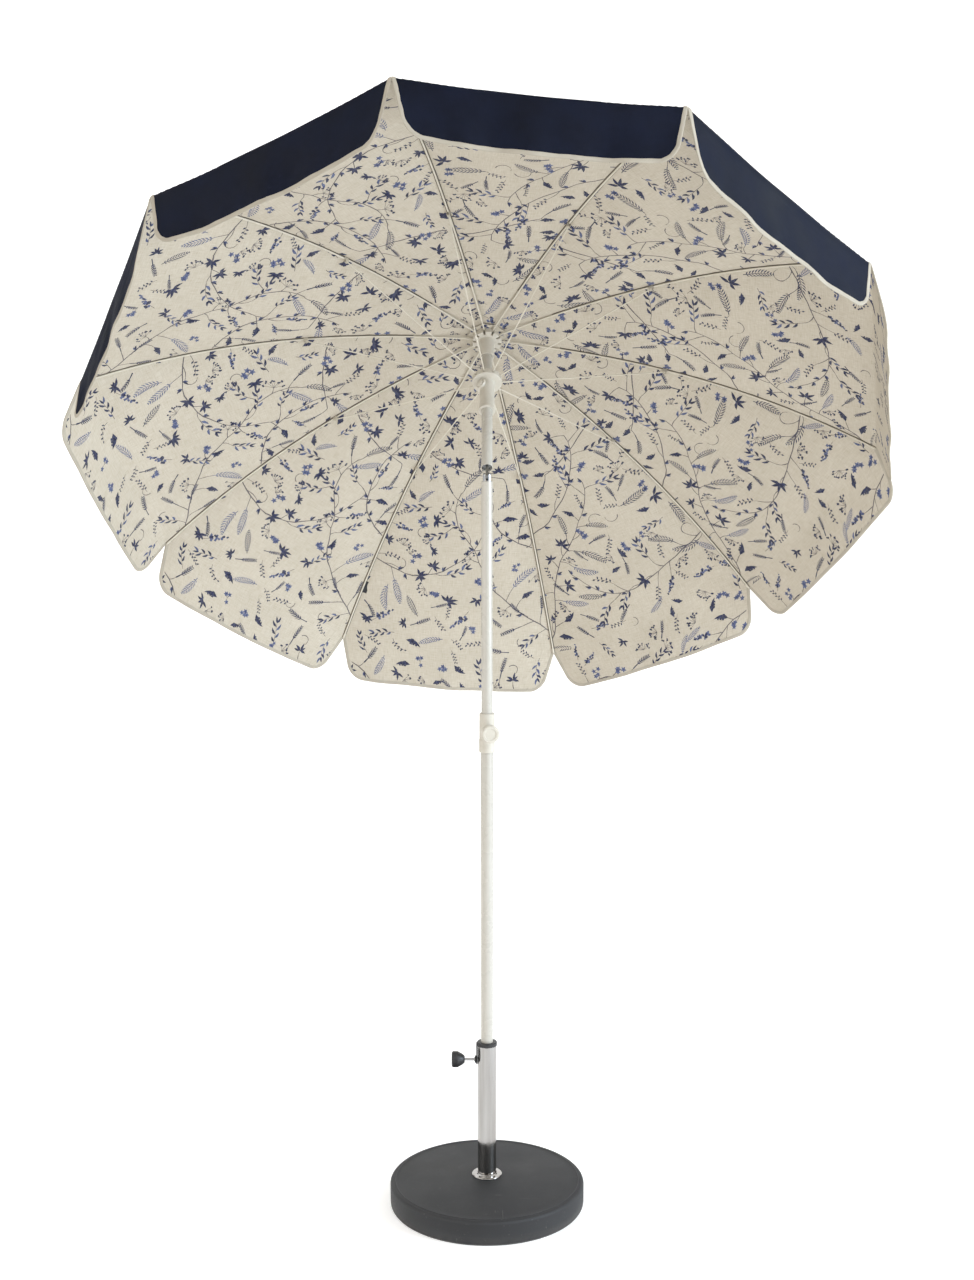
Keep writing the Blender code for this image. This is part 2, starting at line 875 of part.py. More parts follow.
LOOKS = {
    "base": make_material("base", (0.045, 0.045, 0.05), 0.75),
    "base_under": make_material("base_under", (0.06, 0.06, 0.06), 0.8),
    "concrete": make_material("concrete", (0.45, 0.44, 0.42), 0.9),
    "chrome": make_material("chrome", (0.8, 0.8, 0.8), 0.1, 1.0),
    "steel": make_material("steel", (0.6, 0.6, 0.62), 0.35, 1.0),
    "zinc": make_material("zinc", (0.7, 0.73, 0.74), 0.25, 1.0),
    "black_plastic": make_material("black_plastic", (0.02, 0.02, 0.025), 0.5),
    "white_plastic": make_material("white_plastic", (0.85, 0.83, 0.78), 0.4),
    "white_pole": make_material("white_pole", (0.88, 0.87, 0.84), 0.25),
    "cream_metal": make_material("cream_metal", (0.80, 0.76, 0.68), 0.35),
    "cloth": make_material("cloth", (0.60, 0.55, 0.46), 0.9),
}

quarter = math.pi / 2
lean = Matrix.Rotation(-TILT, 3, "X")
knob_turn = Matrix.Rotation(HEIGHT_KNOB_TURN, 3, "Z")
clamp_frame = make_frame("clamp_axis", (0, 0, CLAMP_Z), Matrix.Rotation(-quarter, 3, "Y"))
height_frame = make_frame(
    "height_axis", (0, 0, HEIGHT_KNOB_Z), knob_turn @ Matrix.Rotation(quarter, 3, "X")
)
pivot_frame = make_frame("tilt_pivot", (0, 0, TILT_Z))
pin_frame = make_frame("pin_axis", (0, 0, TILT_Z), Matrix.Rotation(quarter, 3, "Y"))
head_frame = make_frame("head_axis", (0, 0, TILT_Z), lean)
tongue_pin_frame = make_frame(
    "tongue_pin_axis", (0, 0, TILT_Z), lean @ Matrix.Rotation(quarter, 3, "Y")
)
button_heading = Matrix.Rotation(math.radians(-135), 3, "Z") @ Matrix.Rotation(quarter, 3, "Y")
button_centre = Vector((0, 0, RUNNER_W - 0.0225))
button_frame = make_frame(
    "button_axis", Vector((0, 0, TILT_Z)) + lean @ button_centre, lean @ button_heading
)

clamp_hole = turned(
    "clamp_hole_cutter",
    rod(NUT_R + GAP, 0.010, 0.040),
    frame=clamp_frame,
    cutter=True,
)
pin_hole = turned(
    "pin_hole_cutter",
    rod(PIN_R + GAP, -0.020, 0.020),
    frame=pin_frame,
    steps=16,
    cutter=True,
)

make_base()
make_stand_tube()
make_collar()
make_clamp()
make_lower_mast()
make_height_clamp()
make_middle_mast()
make_tilt_joint()
make_upper_pole()
make_crown()
make_runner()
make_frame_wires()
for rib_number in range(1, RIB_COUNT + 1):
    make_canopy_segment(rib_number)
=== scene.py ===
"""Looks of the patio umbrella with base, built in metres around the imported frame."""

import json
import math
import random

import bmesh
import bpy
import numpy as np
from mathutils import Matrix, Vector
from mathutils.geometry import delaunay_2d_cdt


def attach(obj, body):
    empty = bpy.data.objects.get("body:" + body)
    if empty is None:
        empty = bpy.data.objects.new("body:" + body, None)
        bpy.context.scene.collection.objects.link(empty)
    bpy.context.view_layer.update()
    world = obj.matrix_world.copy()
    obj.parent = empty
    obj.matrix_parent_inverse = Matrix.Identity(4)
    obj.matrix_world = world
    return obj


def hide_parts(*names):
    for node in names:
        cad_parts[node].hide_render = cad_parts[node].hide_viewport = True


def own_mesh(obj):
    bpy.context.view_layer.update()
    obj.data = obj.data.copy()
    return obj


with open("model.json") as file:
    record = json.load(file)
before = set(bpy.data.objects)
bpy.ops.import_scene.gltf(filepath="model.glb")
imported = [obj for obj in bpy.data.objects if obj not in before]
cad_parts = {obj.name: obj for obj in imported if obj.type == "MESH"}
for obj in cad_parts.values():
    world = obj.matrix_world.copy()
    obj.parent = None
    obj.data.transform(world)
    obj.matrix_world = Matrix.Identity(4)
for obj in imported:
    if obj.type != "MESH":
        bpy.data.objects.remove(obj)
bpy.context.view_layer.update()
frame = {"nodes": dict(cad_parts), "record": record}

# The frame's own driving sizes, in metres, repeated from the CAD.
TILT_Z = 1.6854
TILT = math.radians(45)
HUB_W = 0.4387
HINGE_R = 0.030
RIB_COUNT = 10
FIRST_RIB = math.radians(-11.3)
STEP = 2 * math.pi / RIB_COUNT
RIB_REACH = 0.912
RIB_R = 0.0020
JOINT_REACH = 0.424
JOINT_DROP = 0.006
PROFILE = (0.0436, 0.1688, 0.1214)
CLOTH_T = 0.0012
CLOTH_LIFT = 0.0032
CROWN_CLOTH_W = 0.4462
CLOTH_EYE_R = 0.0160
CLOTH_FLAT_R = 0.040
CLOTH_TOUCH_R = 0.15
CLOTH_SAG = 0.012
RIM_SAG = 0.014  # how far the rim hangs below a straight line between two rib tips
RIPPLE_H = 0.0009
PUCKER_H = 0.0006
PUCKER_W = 0.018  # distance from a seam at which its puckers are highest
FLAP_H = 0.110
FLAP_CORNER_R = 0.036
FLAP_TAPER = 0.024  # how far each side of a flap leans in at its lower edge
FLAP_FLARE = 0.70  # largest share of the panel's slope in a flap's direction
FLAP_FLARE_GAIN = 1.05  # that share for each unit of the slope's steepness
FLAP_FOLD = 0.006  # half the length over which the cloth bends from panel to flap
FLAP_SIDE_DROPS = (0.018, 0.034, 0.052)
SEAM_W = 0.0042  # width of the seam tape from the rib's line; the tape is partly painted shadow beside the rib
SEAM_SHADOW_START_Y = 0.16  # the tape shows only beyond the rosette; it is partly painted shadow beside the rib
BASE_R = 0.225
BASE_RIM_H = 0.055
BASE_DOME_H = 0.0115
BASE_WALL = 0.0035
TUBE_R, TUBE_BORE_R = 0.0215, 0.0200
LOWER_R, LOWER_BORE_R = 0.0140, 0.0128
UPPER_R, UPPER_BORE_R = 0.0125, 0.0115
GAP = 0.0004  # between a piece and its neighbour
POLE_STEPS = 72
TINY = 1e-7
COS, SIN = math.cos(TILT), math.sin(TILT)
HEAD = Matrix(((1, 0, 0, 0), (0, COS, SIN, 0), (0, -SIN, COS, TILT_Z), (0, 0, 0, 1)))


# ---------------------------------------------------------------- camera and stage

def make_camera():
    data = bpy.data.cameras.new("camera")
    data.sensor_width = 36
    data.lens = 49.35
    camera = bpy.data.objects.new("camera", data)
    bpy.context.scene.collection.objects.link(camera)
    camera.location = (0, -3.8926, 1.8349)
    camera.rotation_euler = (math.radians(90 - 7.51), 0, 0)
    bpy.context.scene.camera = camera


def add_light(name, place, target, size, energy, colour):
    data = bpy.data.lights.new(name, "AREA")
    data.shape = "RECTANGLE"
    data.size, data.size_y = size
    data.energy = energy
    data.color = colour
    light = bpy.data.objects.new(name, data)
    bpy.context.scene.collection.objects.link(light)
    light.location = place
    aim = Vector(target) - Vector(place)
    light.rotation_euler = aim.to_track_quat("-Z", "Y").to_euler()


# ---------------------------------------------------------------- materials

class Look:
    """A Principled material and short ways to add nodes to it."""

    def __init__(self, name, **sockets):
        self.made = bpy.data.materials.new(name)
        self.made.use_nodes = True
        self.tree = self.made.node_tree
        self.shader = self.tree.nodes["Principled BSDF"]
        for key, value in sockets.items():
            self.set(key.replace("_", " "), value)

    def set(self, socket, value):
        self.join(value, self.shader.inputs[socket])

    def join(self, value, socket):
        if isinstance(value, bpy.types.NodeSocket):
            self.tree.links.new(value, socket)
        elif isinstance(value, tuple) and len(value) == 3 and len(socket.default_value) == 4:
            socket.default_value = (*value, 1)
        else:
            socket.default_value = value

    def node(self, kind, values=(), **props):
        made = self.tree.nodes.new("ShaderNode" + kind)
        for key, value in props.items():
            setattr(made, key, value)
        for key, value in dict(values).items():
            self.join(value, made.inputs[key])
        return made

    def place(self):
        return self.node("TexCoord").outputs["Object"]

    def attribute(self, name):
        return self.node("Attribute", attribute_name=name).outputs["Vector"]

    def scaled(self, vector, scale, turn=0.0):
        values = {"Vector": vector, "Scale": scale, "Rotation": (0.0, 0.0, turn)}
        return self.node("Mapping", values).outputs["Vector"]

    def noise(self, vector, scale, detail=3.0, rough=0.55):
        values = {"Vector": vector, "Scale": scale, "Detail": detail, "Roughness": rough}
        return self.node("TexNoise", values).outputs["Fac"]

    def cells(self, vector, scale):
        return self.node("TexVoronoi", {"Vector": vector, "Scale": scale}).outputs["Distance"]

    def ramp(self, fac, low, high, start=0.0, end=1.0):
        values = {"Value": fac, "From Min": low, "From Max": high, "To Min": start, "To Max": end}
        return self.node("MapRange", values).outputs["Result"]

    def math(self, operation, a, b=0.0):
        return self.node("Math", {0: a, 1: b}, operation=operation).outputs[0]

    def mix(self, factor, a, b):
        made = self.node("Mix", data_type="RGBA")
        self.join(factor, made.inputs[0])
        self.join(a, made.inputs[6])
        self.join(b, made.inputs[7])
        return made.outputs[2]

    def bump(self, height, strength, distance, before=None):
        values = {"Height": height, "Strength": strength, "Distance": distance}
        if before is not None:
            values["Normal"] = before
        return self.node("Bump", values).outputs["Normal"]


def threads(look, flat):
    """Two crossing sets of uneven threads, from the cloth's own flat coordinates."""
    warp = look.noise(look.scaled(flat, (620, 42, 1)), 1.0, 3.0, 0.6)
    weft = look.noise(look.scaled(flat, (38, 560, 1)), 1.0, 3.0, 0.6)
    return warp, weft


LINEN = (0.500, 0.443, 0.352)
LINEN_PALE = (0.590, 0.545, 0.465)
LINEN_DARK = (0.375, 0.330, 0.258)


def cloth_look(name, print_tones=None):
    """Printed linen weave. print_tones are two tones that the ink varies between."""
    look = Look(name, Roughness=0.88)
    look.shader.inputs["Sheen Weight"].default_value = 0.03
    look.shader.inputs["Specular IOR Level"].default_value = 0.2
    flat = look.attribute("flat")
    warp, weft = threads(look, flat)
    slub = look.math("ADD", look.ramp(warp, 0.45, 0.72), look.ramp(weft, 0.45, 0.72))
    base = look.mix(look.ramp(slub, 0.0, 1.3), LINEN, LINEN_PALE)
    gaps = look.math("ADD", look.ramp(warp, 0.50, 0.28), look.ramp(weft, 0.50, 0.28))
    base = look.mix(look.ramp(gaps, 0.35, 1.5, 0.0, 0.6), base, LINEN_DARK)
    soft = look.noise(flat, 5.0, 2.0)
    base = look.mix(look.ramp(soft, 0.3, 0.7, 0.0, 0.35), base, LINEN_DARK)
    if print_tones:
        wash = look.noise(flat, 120.0, 3.0, 0.7)
        ink = look.mix(look.ramp(wash, 0.38, 0.62), print_tones[0], print_tones[1])
        cover = look.ramp(look.math("ADD", warp, weft), 0.85, 1.25, 1.0, 0.86)
        base = look.mix(cover, base, ink)
    look.set("Base Color", base)
    fine = look.math("ADD", look.noise(look.scaled(flat, (1500, 1500, 1)), 1.0), slub)
    look.set("Normal", look.bump(fine, 0.35, 0.0004))
    return look.made


def make_outside_cloth():
    look = Look("cloth_outside", Roughness=0.55)
    look.shader.inputs["Specular IOR Level"].default_value = 0.12
    flat = look.attribute("flat")
    warp, weft = threads(look, flat)
    wear = look.noise(flat, 9.0, 4.0, 0.6)
    base = look.mix(look.ramp(wear, 0.3, 0.7), (0.0024, 0.0039, 0.0105), (0.0044, 0.0072, 0.0200))
    base = look.mix(look.ramp(warp, 0.55, 0.8, 0.0, 0.25), base, (0.007, 0.012, 0.032))
    look.set("Base Color", base)
    look.set("Roughness", look.ramp(wear, 0.25, 0.75, 0.50, 0.68))
    weave = look.math("ADD", warp, weft)
    creases = look.bump(look.noise(look.scaled(flat, (9, 16, 1)), 1.0, 3.0), 0.5, 0.006)
    look.set("Normal", look.bump(weave, 0.3, 0.0005, creases))
    return look.made


def make_tape(name, colour, dark):
    look = Look(name, Roughness=0.85)
    flat = look.place()
    weave = look.noise(look.scaled(flat, (900, 900, 900)), 1.0, 2.0)
    soft = look.noise(flat, 24.0, 3.0)
    base = look.mix(look.ramp(soft, 0.3, 0.7, 0.0, 0.7), colour, dark)
    look.set("Base Color", look.mix(look.ramp(weave, 0.4, 0.7, 0.0, 0.3), base, dark))
    look.set("Normal", look.bump(weave, 0.4, 0.0004))
    return look.made


def make_rosette_cloth():
    look = Look("rosette_cloth", Roughness=0.85)
    place = look.place()
    weave = look.noise(look.scaled(place, (800, 800, 800)), 1.0, 2.0)
    sprigs = look.ramp(look.cells(place, 95.0), 0.46, 0.32)
    sparse = look.ramp(look.noise(place, 60.0, 2.0), 0.40, 0.48)
    ink = look.math("MULTIPLY", sprigs, sparse)
    base = look.mix(look.ramp(weave, 0.4, 0.7), (0.50, 0.45, 0.36), (0.58, 0.53, 0.44))
    look.set("Base Color", look.mix(ink, base, (0.05, 0.06, 0.13)))
    look.set("Normal", look.bump(weave, 0.3, 0.0004))
    return look.made


def make_paint(name, colour, worn, rough, coat=0.4):
    """Powder coat with faint ripple, dust and a little wear."""
    look = Look(name)
    look.shader.inputs["Coat Weight"].default_value = coat
    look.shader.inputs["Coat Roughness"].default_value = 0.12
    place = look.place()
    dust = look.noise(place, 14.0, 5.0, 0.65)
    base = look.mix(look.ramp(dust, 0.42, 0.8, 0.0, 0.5), colour, worn)
    marks = look.ramp(look.noise(look.scaled(place, (160, 160, 26)), 1.0, 2.0), 0.70, 0.78)
    look.set("Base Color", look.mix(look.math("MULTIPLY", marks, 0.35), base, worn))
    look.set("Roughness", look.ramp(dust, 0.3, 0.7, rough, rough + 0.14))
    look.set("Normal", look.bump(look.noise(place, 420.0, 2.0), 0.06, 0.0006))
    return look.made


def make_metal(name, colour, dark, rough, streaks=(60, 60, 4), reach=0.12):
    look = Look(name, Metallic=1.0)
    place = look.place()
    # streaky noise: smudges on every metal; on chrome its brownish dark tone is also painted reflection
    # bands
    smear_and_painted_band = look.noise(look.scaled(place, streaks), 1.0, 4.0, 0.6)
    spots = look.noise(place, 55.0, 4.0, 0.7)
    base = look.mix(look.ramp(smear_and_painted_band, 0.35, 0.75, 0.0, 0.55), colour, dark)
    base = look.mix(look.ramp(spots, 0.64, 0.76, 0.0, 0.5), base, dark)
    look.set("Base Color", base)
    look.set("Roughness", look.ramp(smear_and_painted_band, 0.3, 0.7, rough, rough + reach))
    look.set("Normal", look.bump(spots, 0.04, 0.0004))
    return look.made


def make_base_plastic():
    """Rough moulded plastic, grained, scuffed and dusty."""
    look = Look("base_plastic")
    place = look.place()
    grain = look.cells(place, 620.0)
    pores = look.noise(place, 900.0, 2.0)
    cloud = look.noise(place, 7.0, 5.0, 0.6)
    base = look.mix(look.ramp(cloud, 0.3, 0.7), (0.011, 0.0115, 0.013), (0.021, 0.0215, 0.024))
    fleck = look.ramp(look.noise(place, 210.0, 2.0, 0.8), 0.69, 0.75)
    base = look.mix(look.math("MULTIPLY", fleck, 0.45), base, (0.22, 0.21, 0.20))
    scratch = look.noise(look.scaled(place, (14, 170, 60), 0.6), 1.0, 2.0)
    cross = look.noise(look.scaled(place, (150, 12, 60), 0.35), 1.0, 2.0)
    lines = look.math("MAXIMUM", look.ramp(scratch, 0.735, 0.76), look.ramp(cross, 0.735, 0.76))
    base = look.mix(look.math("MULTIPLY", lines, 0.35), base, (0.16, 0.15, 0.14))
    height = look.node("SeparateXYZ", {0: place}).outputs[2]
    low_dust = look.math("MULTIPLY", look.ramp(height, 0.022, 0.0), look.ramp(cloud, 0.35, 0.6))
    base = look.mix(look.math("MULTIPLY", low_dust, 0.35), base, (0.13, 0.12, 0.11))
    rim = look.ramp(look.node("NewGeometry").outputs["Pointiness"], 0.515, 0.56)
    base = look.mix(look.math("MULTIPLY", rim, 0.4), base, (0.12, 0.12, 0.12))
    look.set("Base Color", base)
    look.set("Roughness", look.ramp(cloud, 0.25, 0.75, 0.52, 0.74))
    rough = look.math("ADD", look.math("MULTIPLY", grain, 0.8), pores)
    look.set("Normal", look.bump(rough, 0.42, 0.0007))
    return look.made


def make_moulded(name, colour, dust, rough, grain=0.25):
    look = Look(name)
    place = look.place()
    cloud = look.noise(place, 40.0, 4.0, 0.6)
    base = look.mix(look.ramp(cloud, 0.42, 0.78, 0.0, 0.55), colour, dust)
    look.set("Base Color", base)
    look.set("Roughness", look.ramp(cloud, 0.3, 0.7, rough, rough + 0.14))
    look.set("Normal", look.bump(look.noise(place, 700.0, 2.0), grain, 0.0003))
    return look.made


def make_concrete():
    look = Look("concrete", Roughness=0.9)
    place = look.place()
    sand = look.noise(place, 260.0, 6.0, 0.7)
    base = look.mix(look.ramp(sand, 0.3, 0.7), (0.28, 0.27, 0.25), (0.46, 0.45, 0.42))
    look.set("Base Color", base)
    look.set("Normal", look.bump(sand, 0.6, 0.0012))
    return look.made


# ---------------------------------------------------------------- mesh helpers

def new_object(name, mesh, body, sharp=35):
    made = bpy.data.objects.new(name, mesh)
    bpy.context.scene.collection.objects.link(made)
    mesh.shade_smooth()
    mesh.set_sharp_from_angle(angle=math.radians(sharp))
    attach(made, body)
    return made


def soften(points, radius, count=4):
    """A closed outline with its sharp corners rounded by short curves."""
    out = []
    total = len(points)
    for index, corner in enumerate(points):
        here = Vector(corner)
        back = Vector(points[index - 1]) - here
        on = Vector(points[(index + 1) % total]) - here
        turn = back.angle(-on) if back.length > 0 and on.length > 0 else 0
        cut = min(radius, back.length * 0.45, on.length * 0.45)
        if turn < 0.2 or cut < 1e-5 or here.x < 1e-6:
            out.append(tuple(here))
            continue
        start, end = here + back.normalized() * cut, here + on.normalized() * cut
        for k in range(count + 1):
            t = k / count
            out.append(tuple(start * (1 - t) ** 2 + here * 2 * t * (1 - t) + end * t * t))
    return out


def bridge(bm, rings, capped=False):
    """Faces between one closed ring of points and the next, and over the two ends."""
    for one, two in zip(rings, rings[1:]):
        size = len(one)
        for k in range(size):
            m = (k + 1) % size
            bm.faces.new((one[k], one[m], two[m], two[k]))
    if capped:
        bm.faces.new(rings[0])
        bm.faces.new(rings[-1])


def thin_sheet(bm, low, high):
    """Faces of a thin sheet on two grids of points, and round their rim."""
    rows, columns = len(low) - 1, len(low[0]) - 1
    faces = []
    for j in range(rows):
        for k in range(columns):
            for grid in (low, high):
                corners = (grid[j][k], grid[j][k + 1], grid[j + 1][k + 1], grid[j + 1][k])
                faces.append(bm.faces.new(corners))
    rim = [(0, k) for k in range(columns + 1)] + [(j, columns) for j in range(1, rows + 1)]
    rim += [(rows, k) for k in range(columns - 1, -1, -1)]
    rim += [(j, 0) for j in range(rows - 1, 0, -1)]
    for (j, k), (m, n) in zip(rim, rim[1:] + rim[:1]):
        faces.append(bm.faces.new((low[j][k], low[m][n], high[m][n], high[j][k])))
    return faces


def lathe(profile, steps, place=Matrix.Identity(4), radius=0.0006):
    """A closed (radius, height) outline turned about Z, as a mesh in the row frame."""
    outline = soften(profile, radius) if radius else profile
    bm = bmesh.new()
    rings = []
    for r, h in outline:
        if r < 1e-6:
            rings.append([bm.verts.new((0, 0, h))] * steps)
            continue
        turn = [2 * math.pi * k / steps for k in range(steps)]
        rings.append([bm.verts.new((r * math.cos(a), r * math.sin(a), h)) for a in turn])
    for index, ring in enumerate(rings):
        after = rings[(index + 1) % len(rings)]
        for k in range(steps):
            m = (k + 1) % steps
            corners = []
            for v in (ring[k], ring[m], after[m], after[k]):
                if v not in corners:
                    corners.append(v)
            if len(corners) > 2:
                bm.faces.new(corners)
    bmesh.ops.transform(bm, matrix=place, verts=bm.verts)
    return finished(bm, "turned")


def sweep(bm, path, section, side):
    """A closed section swept along path; side is the section's first axis."""
    count = len(path)
    rings = []
    for k in range(count):
        ahead = path[min(k + 1, count - 1)] - path[max(k - 1, 0)]
        along = ahead.normalized()
        across = (side - along * side.dot(along)).normalized()
        other = along.cross(across)
        rings.append([bm.verts.new(path[k] + across * a + other * b) for a, b in section])
    bridge(bm, rings, capped=True)


def circle(radius, count):
    turn = [2 * math.pi * k / count for k in range(count)]
    return [(radius * math.cos(a), radius * math.sin(a)) for a in turn]


def finished(bm, name):
    bmesh.ops.recalc_face_normals(bm, faces=bm.faces)
    mesh = bpy.data.meshes.new(name)
    bm.to_mesh(mesh)
    bm.free()
    return mesh


# ---------------------------------------------------------------- canopy shape

def heading(number):
    return FIRST_RIB + STEP * (number - 1) - math.pi / 2


def to_world(local):
    """Points of the tilted head, as rows, in the row frame."""
    x, y, w = local[..., 0], local[..., 1], local[..., 2]
    return np.stack([x, y * COS + w * SIN, -y * SIN + w * COS + TILT_Z], -1)


def fall(reach):
    s = reach - HINGE_R
    return PROFILE[0] * s + PROFILE[1] * s**2 + PROFILE[2] * s**3


def fall_slope(reach):
    s = reach - HINGE_R
    return PROFILE[0] + 2 * PROFILE[1] * s + 3 * PROFILE[2] * s**2


def cloth_height(reach):
    """The inside face's height: flat on the crown, then a smooth join to the ribs' curve."""
    end = HUB_W - fall(CLOTH_TOUCH_R) + CLOTH_LIFT
    span = CLOTH_TOUCH_R - CLOTH_FLAT_R
    t = np.clip((reach - CLOTH_FLAT_R) / span, 0, 1)
    join = (
        CROWN_CLOTH_W * (2 * t**3 - 3 * t**2 + 1)
        + end * (3 * t**2 - 2 * t**3)
        - fall_slope(CLOTH_TOUCH_R) * span * (t**3 - t**2)
    )
    return np.where(reach < CLOTH_TOUCH_R, join, HUB_W - fall(reach) + CLOTH_LIFT)


HALF = math.sin(STEP / 2)
MID = math.cos(STEP / 2)
_reach = np.linspace(CLOTH_EYE_R, RIB_REACH, 1500)
_slope = np.gradient(cloth_height(_reach), _reach)
_length = np.concatenate(
    [[0], np.cumsum(np.hypot(MID, (_slope[1:] + _slope[:-1]) / 2) * np.diff(_reach))]
)
Y_EYE = CLOTH_EYE_R * MID
RIM_Y = Y_EYE + float(_length[-1])
RIM_HALF = RIB_REACH * HALF


def reach_at(y):
    return np.interp(y, Y_EYE + _length, _reach)


class Panel:
    """The panel from rib number to the next: flat pattern coordinates to the row frame."""

    def __init__(self, number):
        self.number = number
        middle = heading(number) + STEP / 2
        self.out = np.array([math.cos(middle), math.sin(middle), 0.0])
        self.across = np.array([-math.sin(middle), math.cos(middle), 0.0])
        slope = self.out * MID - np.array([0, 0, fall_slope(RIB_REACH)])
        self.slope = slope / np.linalg.norm(slope)
        steep = SIN * self.slope[1] - COS * self.slope[2]
        self.flare = min(FLAP_FLARE, max(0.0, FLAP_FLARE_GAIN * steep))
        self.near = max(0.0, min(1.0, 0.5 - 1.6 * steep))
        rng = random.Random(50 + number)
        self.waves = [rng.uniform(0, 2 * math.pi) for _ in range(8)]

    def point(self, x, y):
        """Rows of points on the inside face, from flat (x, y), in the row frame."""
        x, y = np.asarray(x, float), np.asarray(y, float)
        inner = self.canopy(x, np.minimum(y, RIM_Y))
        depth = y - RIM_Y
        fold = FLAP_FOLD
        low = self.canopy(x, np.full_like(y, RIM_Y - fold))
        corner = self.canopy(x, np.full_like(y, RIM_Y))
        hang = self.flap(x, np.maximum(depth, 0), corner)
        high = self.flap(x, np.full_like(y, fold), corner)
        t = np.clip((depth + fold) / (2 * fold), 0, 1)[..., None]
        bend = low * (1 - t) ** 2 + corner * 2 * t * (1 - t) + high * t * t
        lower = np.where((depth > fold)[..., None], hang, bend)
        return to_world(np.where((depth < -fold)[..., None], inner, lower))

    def canopy(self, x, y):
        reach = reach_at(y)
        half = reach * HALF
        share = np.clip(0.5 + x / (2 * half), 0, 1)
        hollow = 4 * share * (1 - share)
        out = np.clip((reach - CLOTH_FLAT_R) / (RIB_REACH - CLOTH_FLAT_R), 0, 1)
        sag = hollow * (CLOTH_SAG * np.sin(np.pi * out) + RIM_SAG * out**2)
        w = self.waves
        ripple = np.sin(23 * x + 17 * y + w[0]) + np.sin(-31 * x + 26 * y + w[1])
        sag = sag + RIPPLE_H * ripple * hollow * out
        seam = np.minimum(half - np.abs(x), 0.08)
        pucker = seam / PUCKER_W * np.exp(1 - seam / PUCKER_W)
        tucks = np.sin(150 * y + w[2]) + np.sin(97 * y + w[3])
        sag = sag - PUCKER_H * pucker * tucks * np.clip(6 * out, 0, 1)
        height = cloth_height(reach) - sag
        flat = self.out * (reach * MID)[..., None] + self.across * x[..., None]
        flat[..., 2] += height
        return flat

    def flap(self, x, depth, corner):
        edge = np.abs(x) / RIM_HALF
        weight = np.clip(self.flare + 0.22 * self.near * edge**4, 0, 0.75)[..., None]
        down = np.array([0, SIN, -COS])
        hang = down * (1 - weight) + self.slope * weight
        hang = hang / np.linalg.norm(hang, axis=-1, keepdims=True)
        share = depth / FLAP_H
        lean = -x * FLAP_TAPER * share / RIM_HALF
        outward = np.cross(hang, self.across)
        w = self.waves
        wave = np.sin(2 * math.pi * x / 0.21 + w[4]) + 0.6 * np.sin(2 * math.pi * x / 0.115 + w[5])
        size = (0.0016 + 0.0040 * self.near) * share**1.5 * (1 - edge**6)
        return (
            corner
            + hang * depth[..., None]
            + self.across * lean[..., None]
            + outward * (wave * size)[..., None]
        )

    def normal(self, x, y):
        """Rows of unit normals, pointing out through the cloth."""
        e = 0.0006
        a = self.point(x + e, y) - self.point(x - e, y)
        b = self.point(x, y + e) - self.point(x, y - e)
        n = np.cross(b, a)
        return n / np.maximum(np.linalg.norm(n, axis=-1, keepdims=True), 1e-12)


def side_x(y):
    """Half the panel's width in the flat pattern."""
    return reach_at(np.minimum(y, RIM_Y)) * HALF


def flap_drop(x):
    """How far the flap hangs at x: full depth, with rounded lower corners."""
    inset = FLAP_CORNER_R - np.minimum(RIM_HALF - np.abs(x), FLAP_CORNER_R)
    return FLAP_H - FLAP_CORNER_R + np.sqrt(np.maximum(FLAP_CORNER_R**2 - inset**2, 0))


# ---------------------------------------------------------------- printed pattern

PRINT_SCALE = 1.28


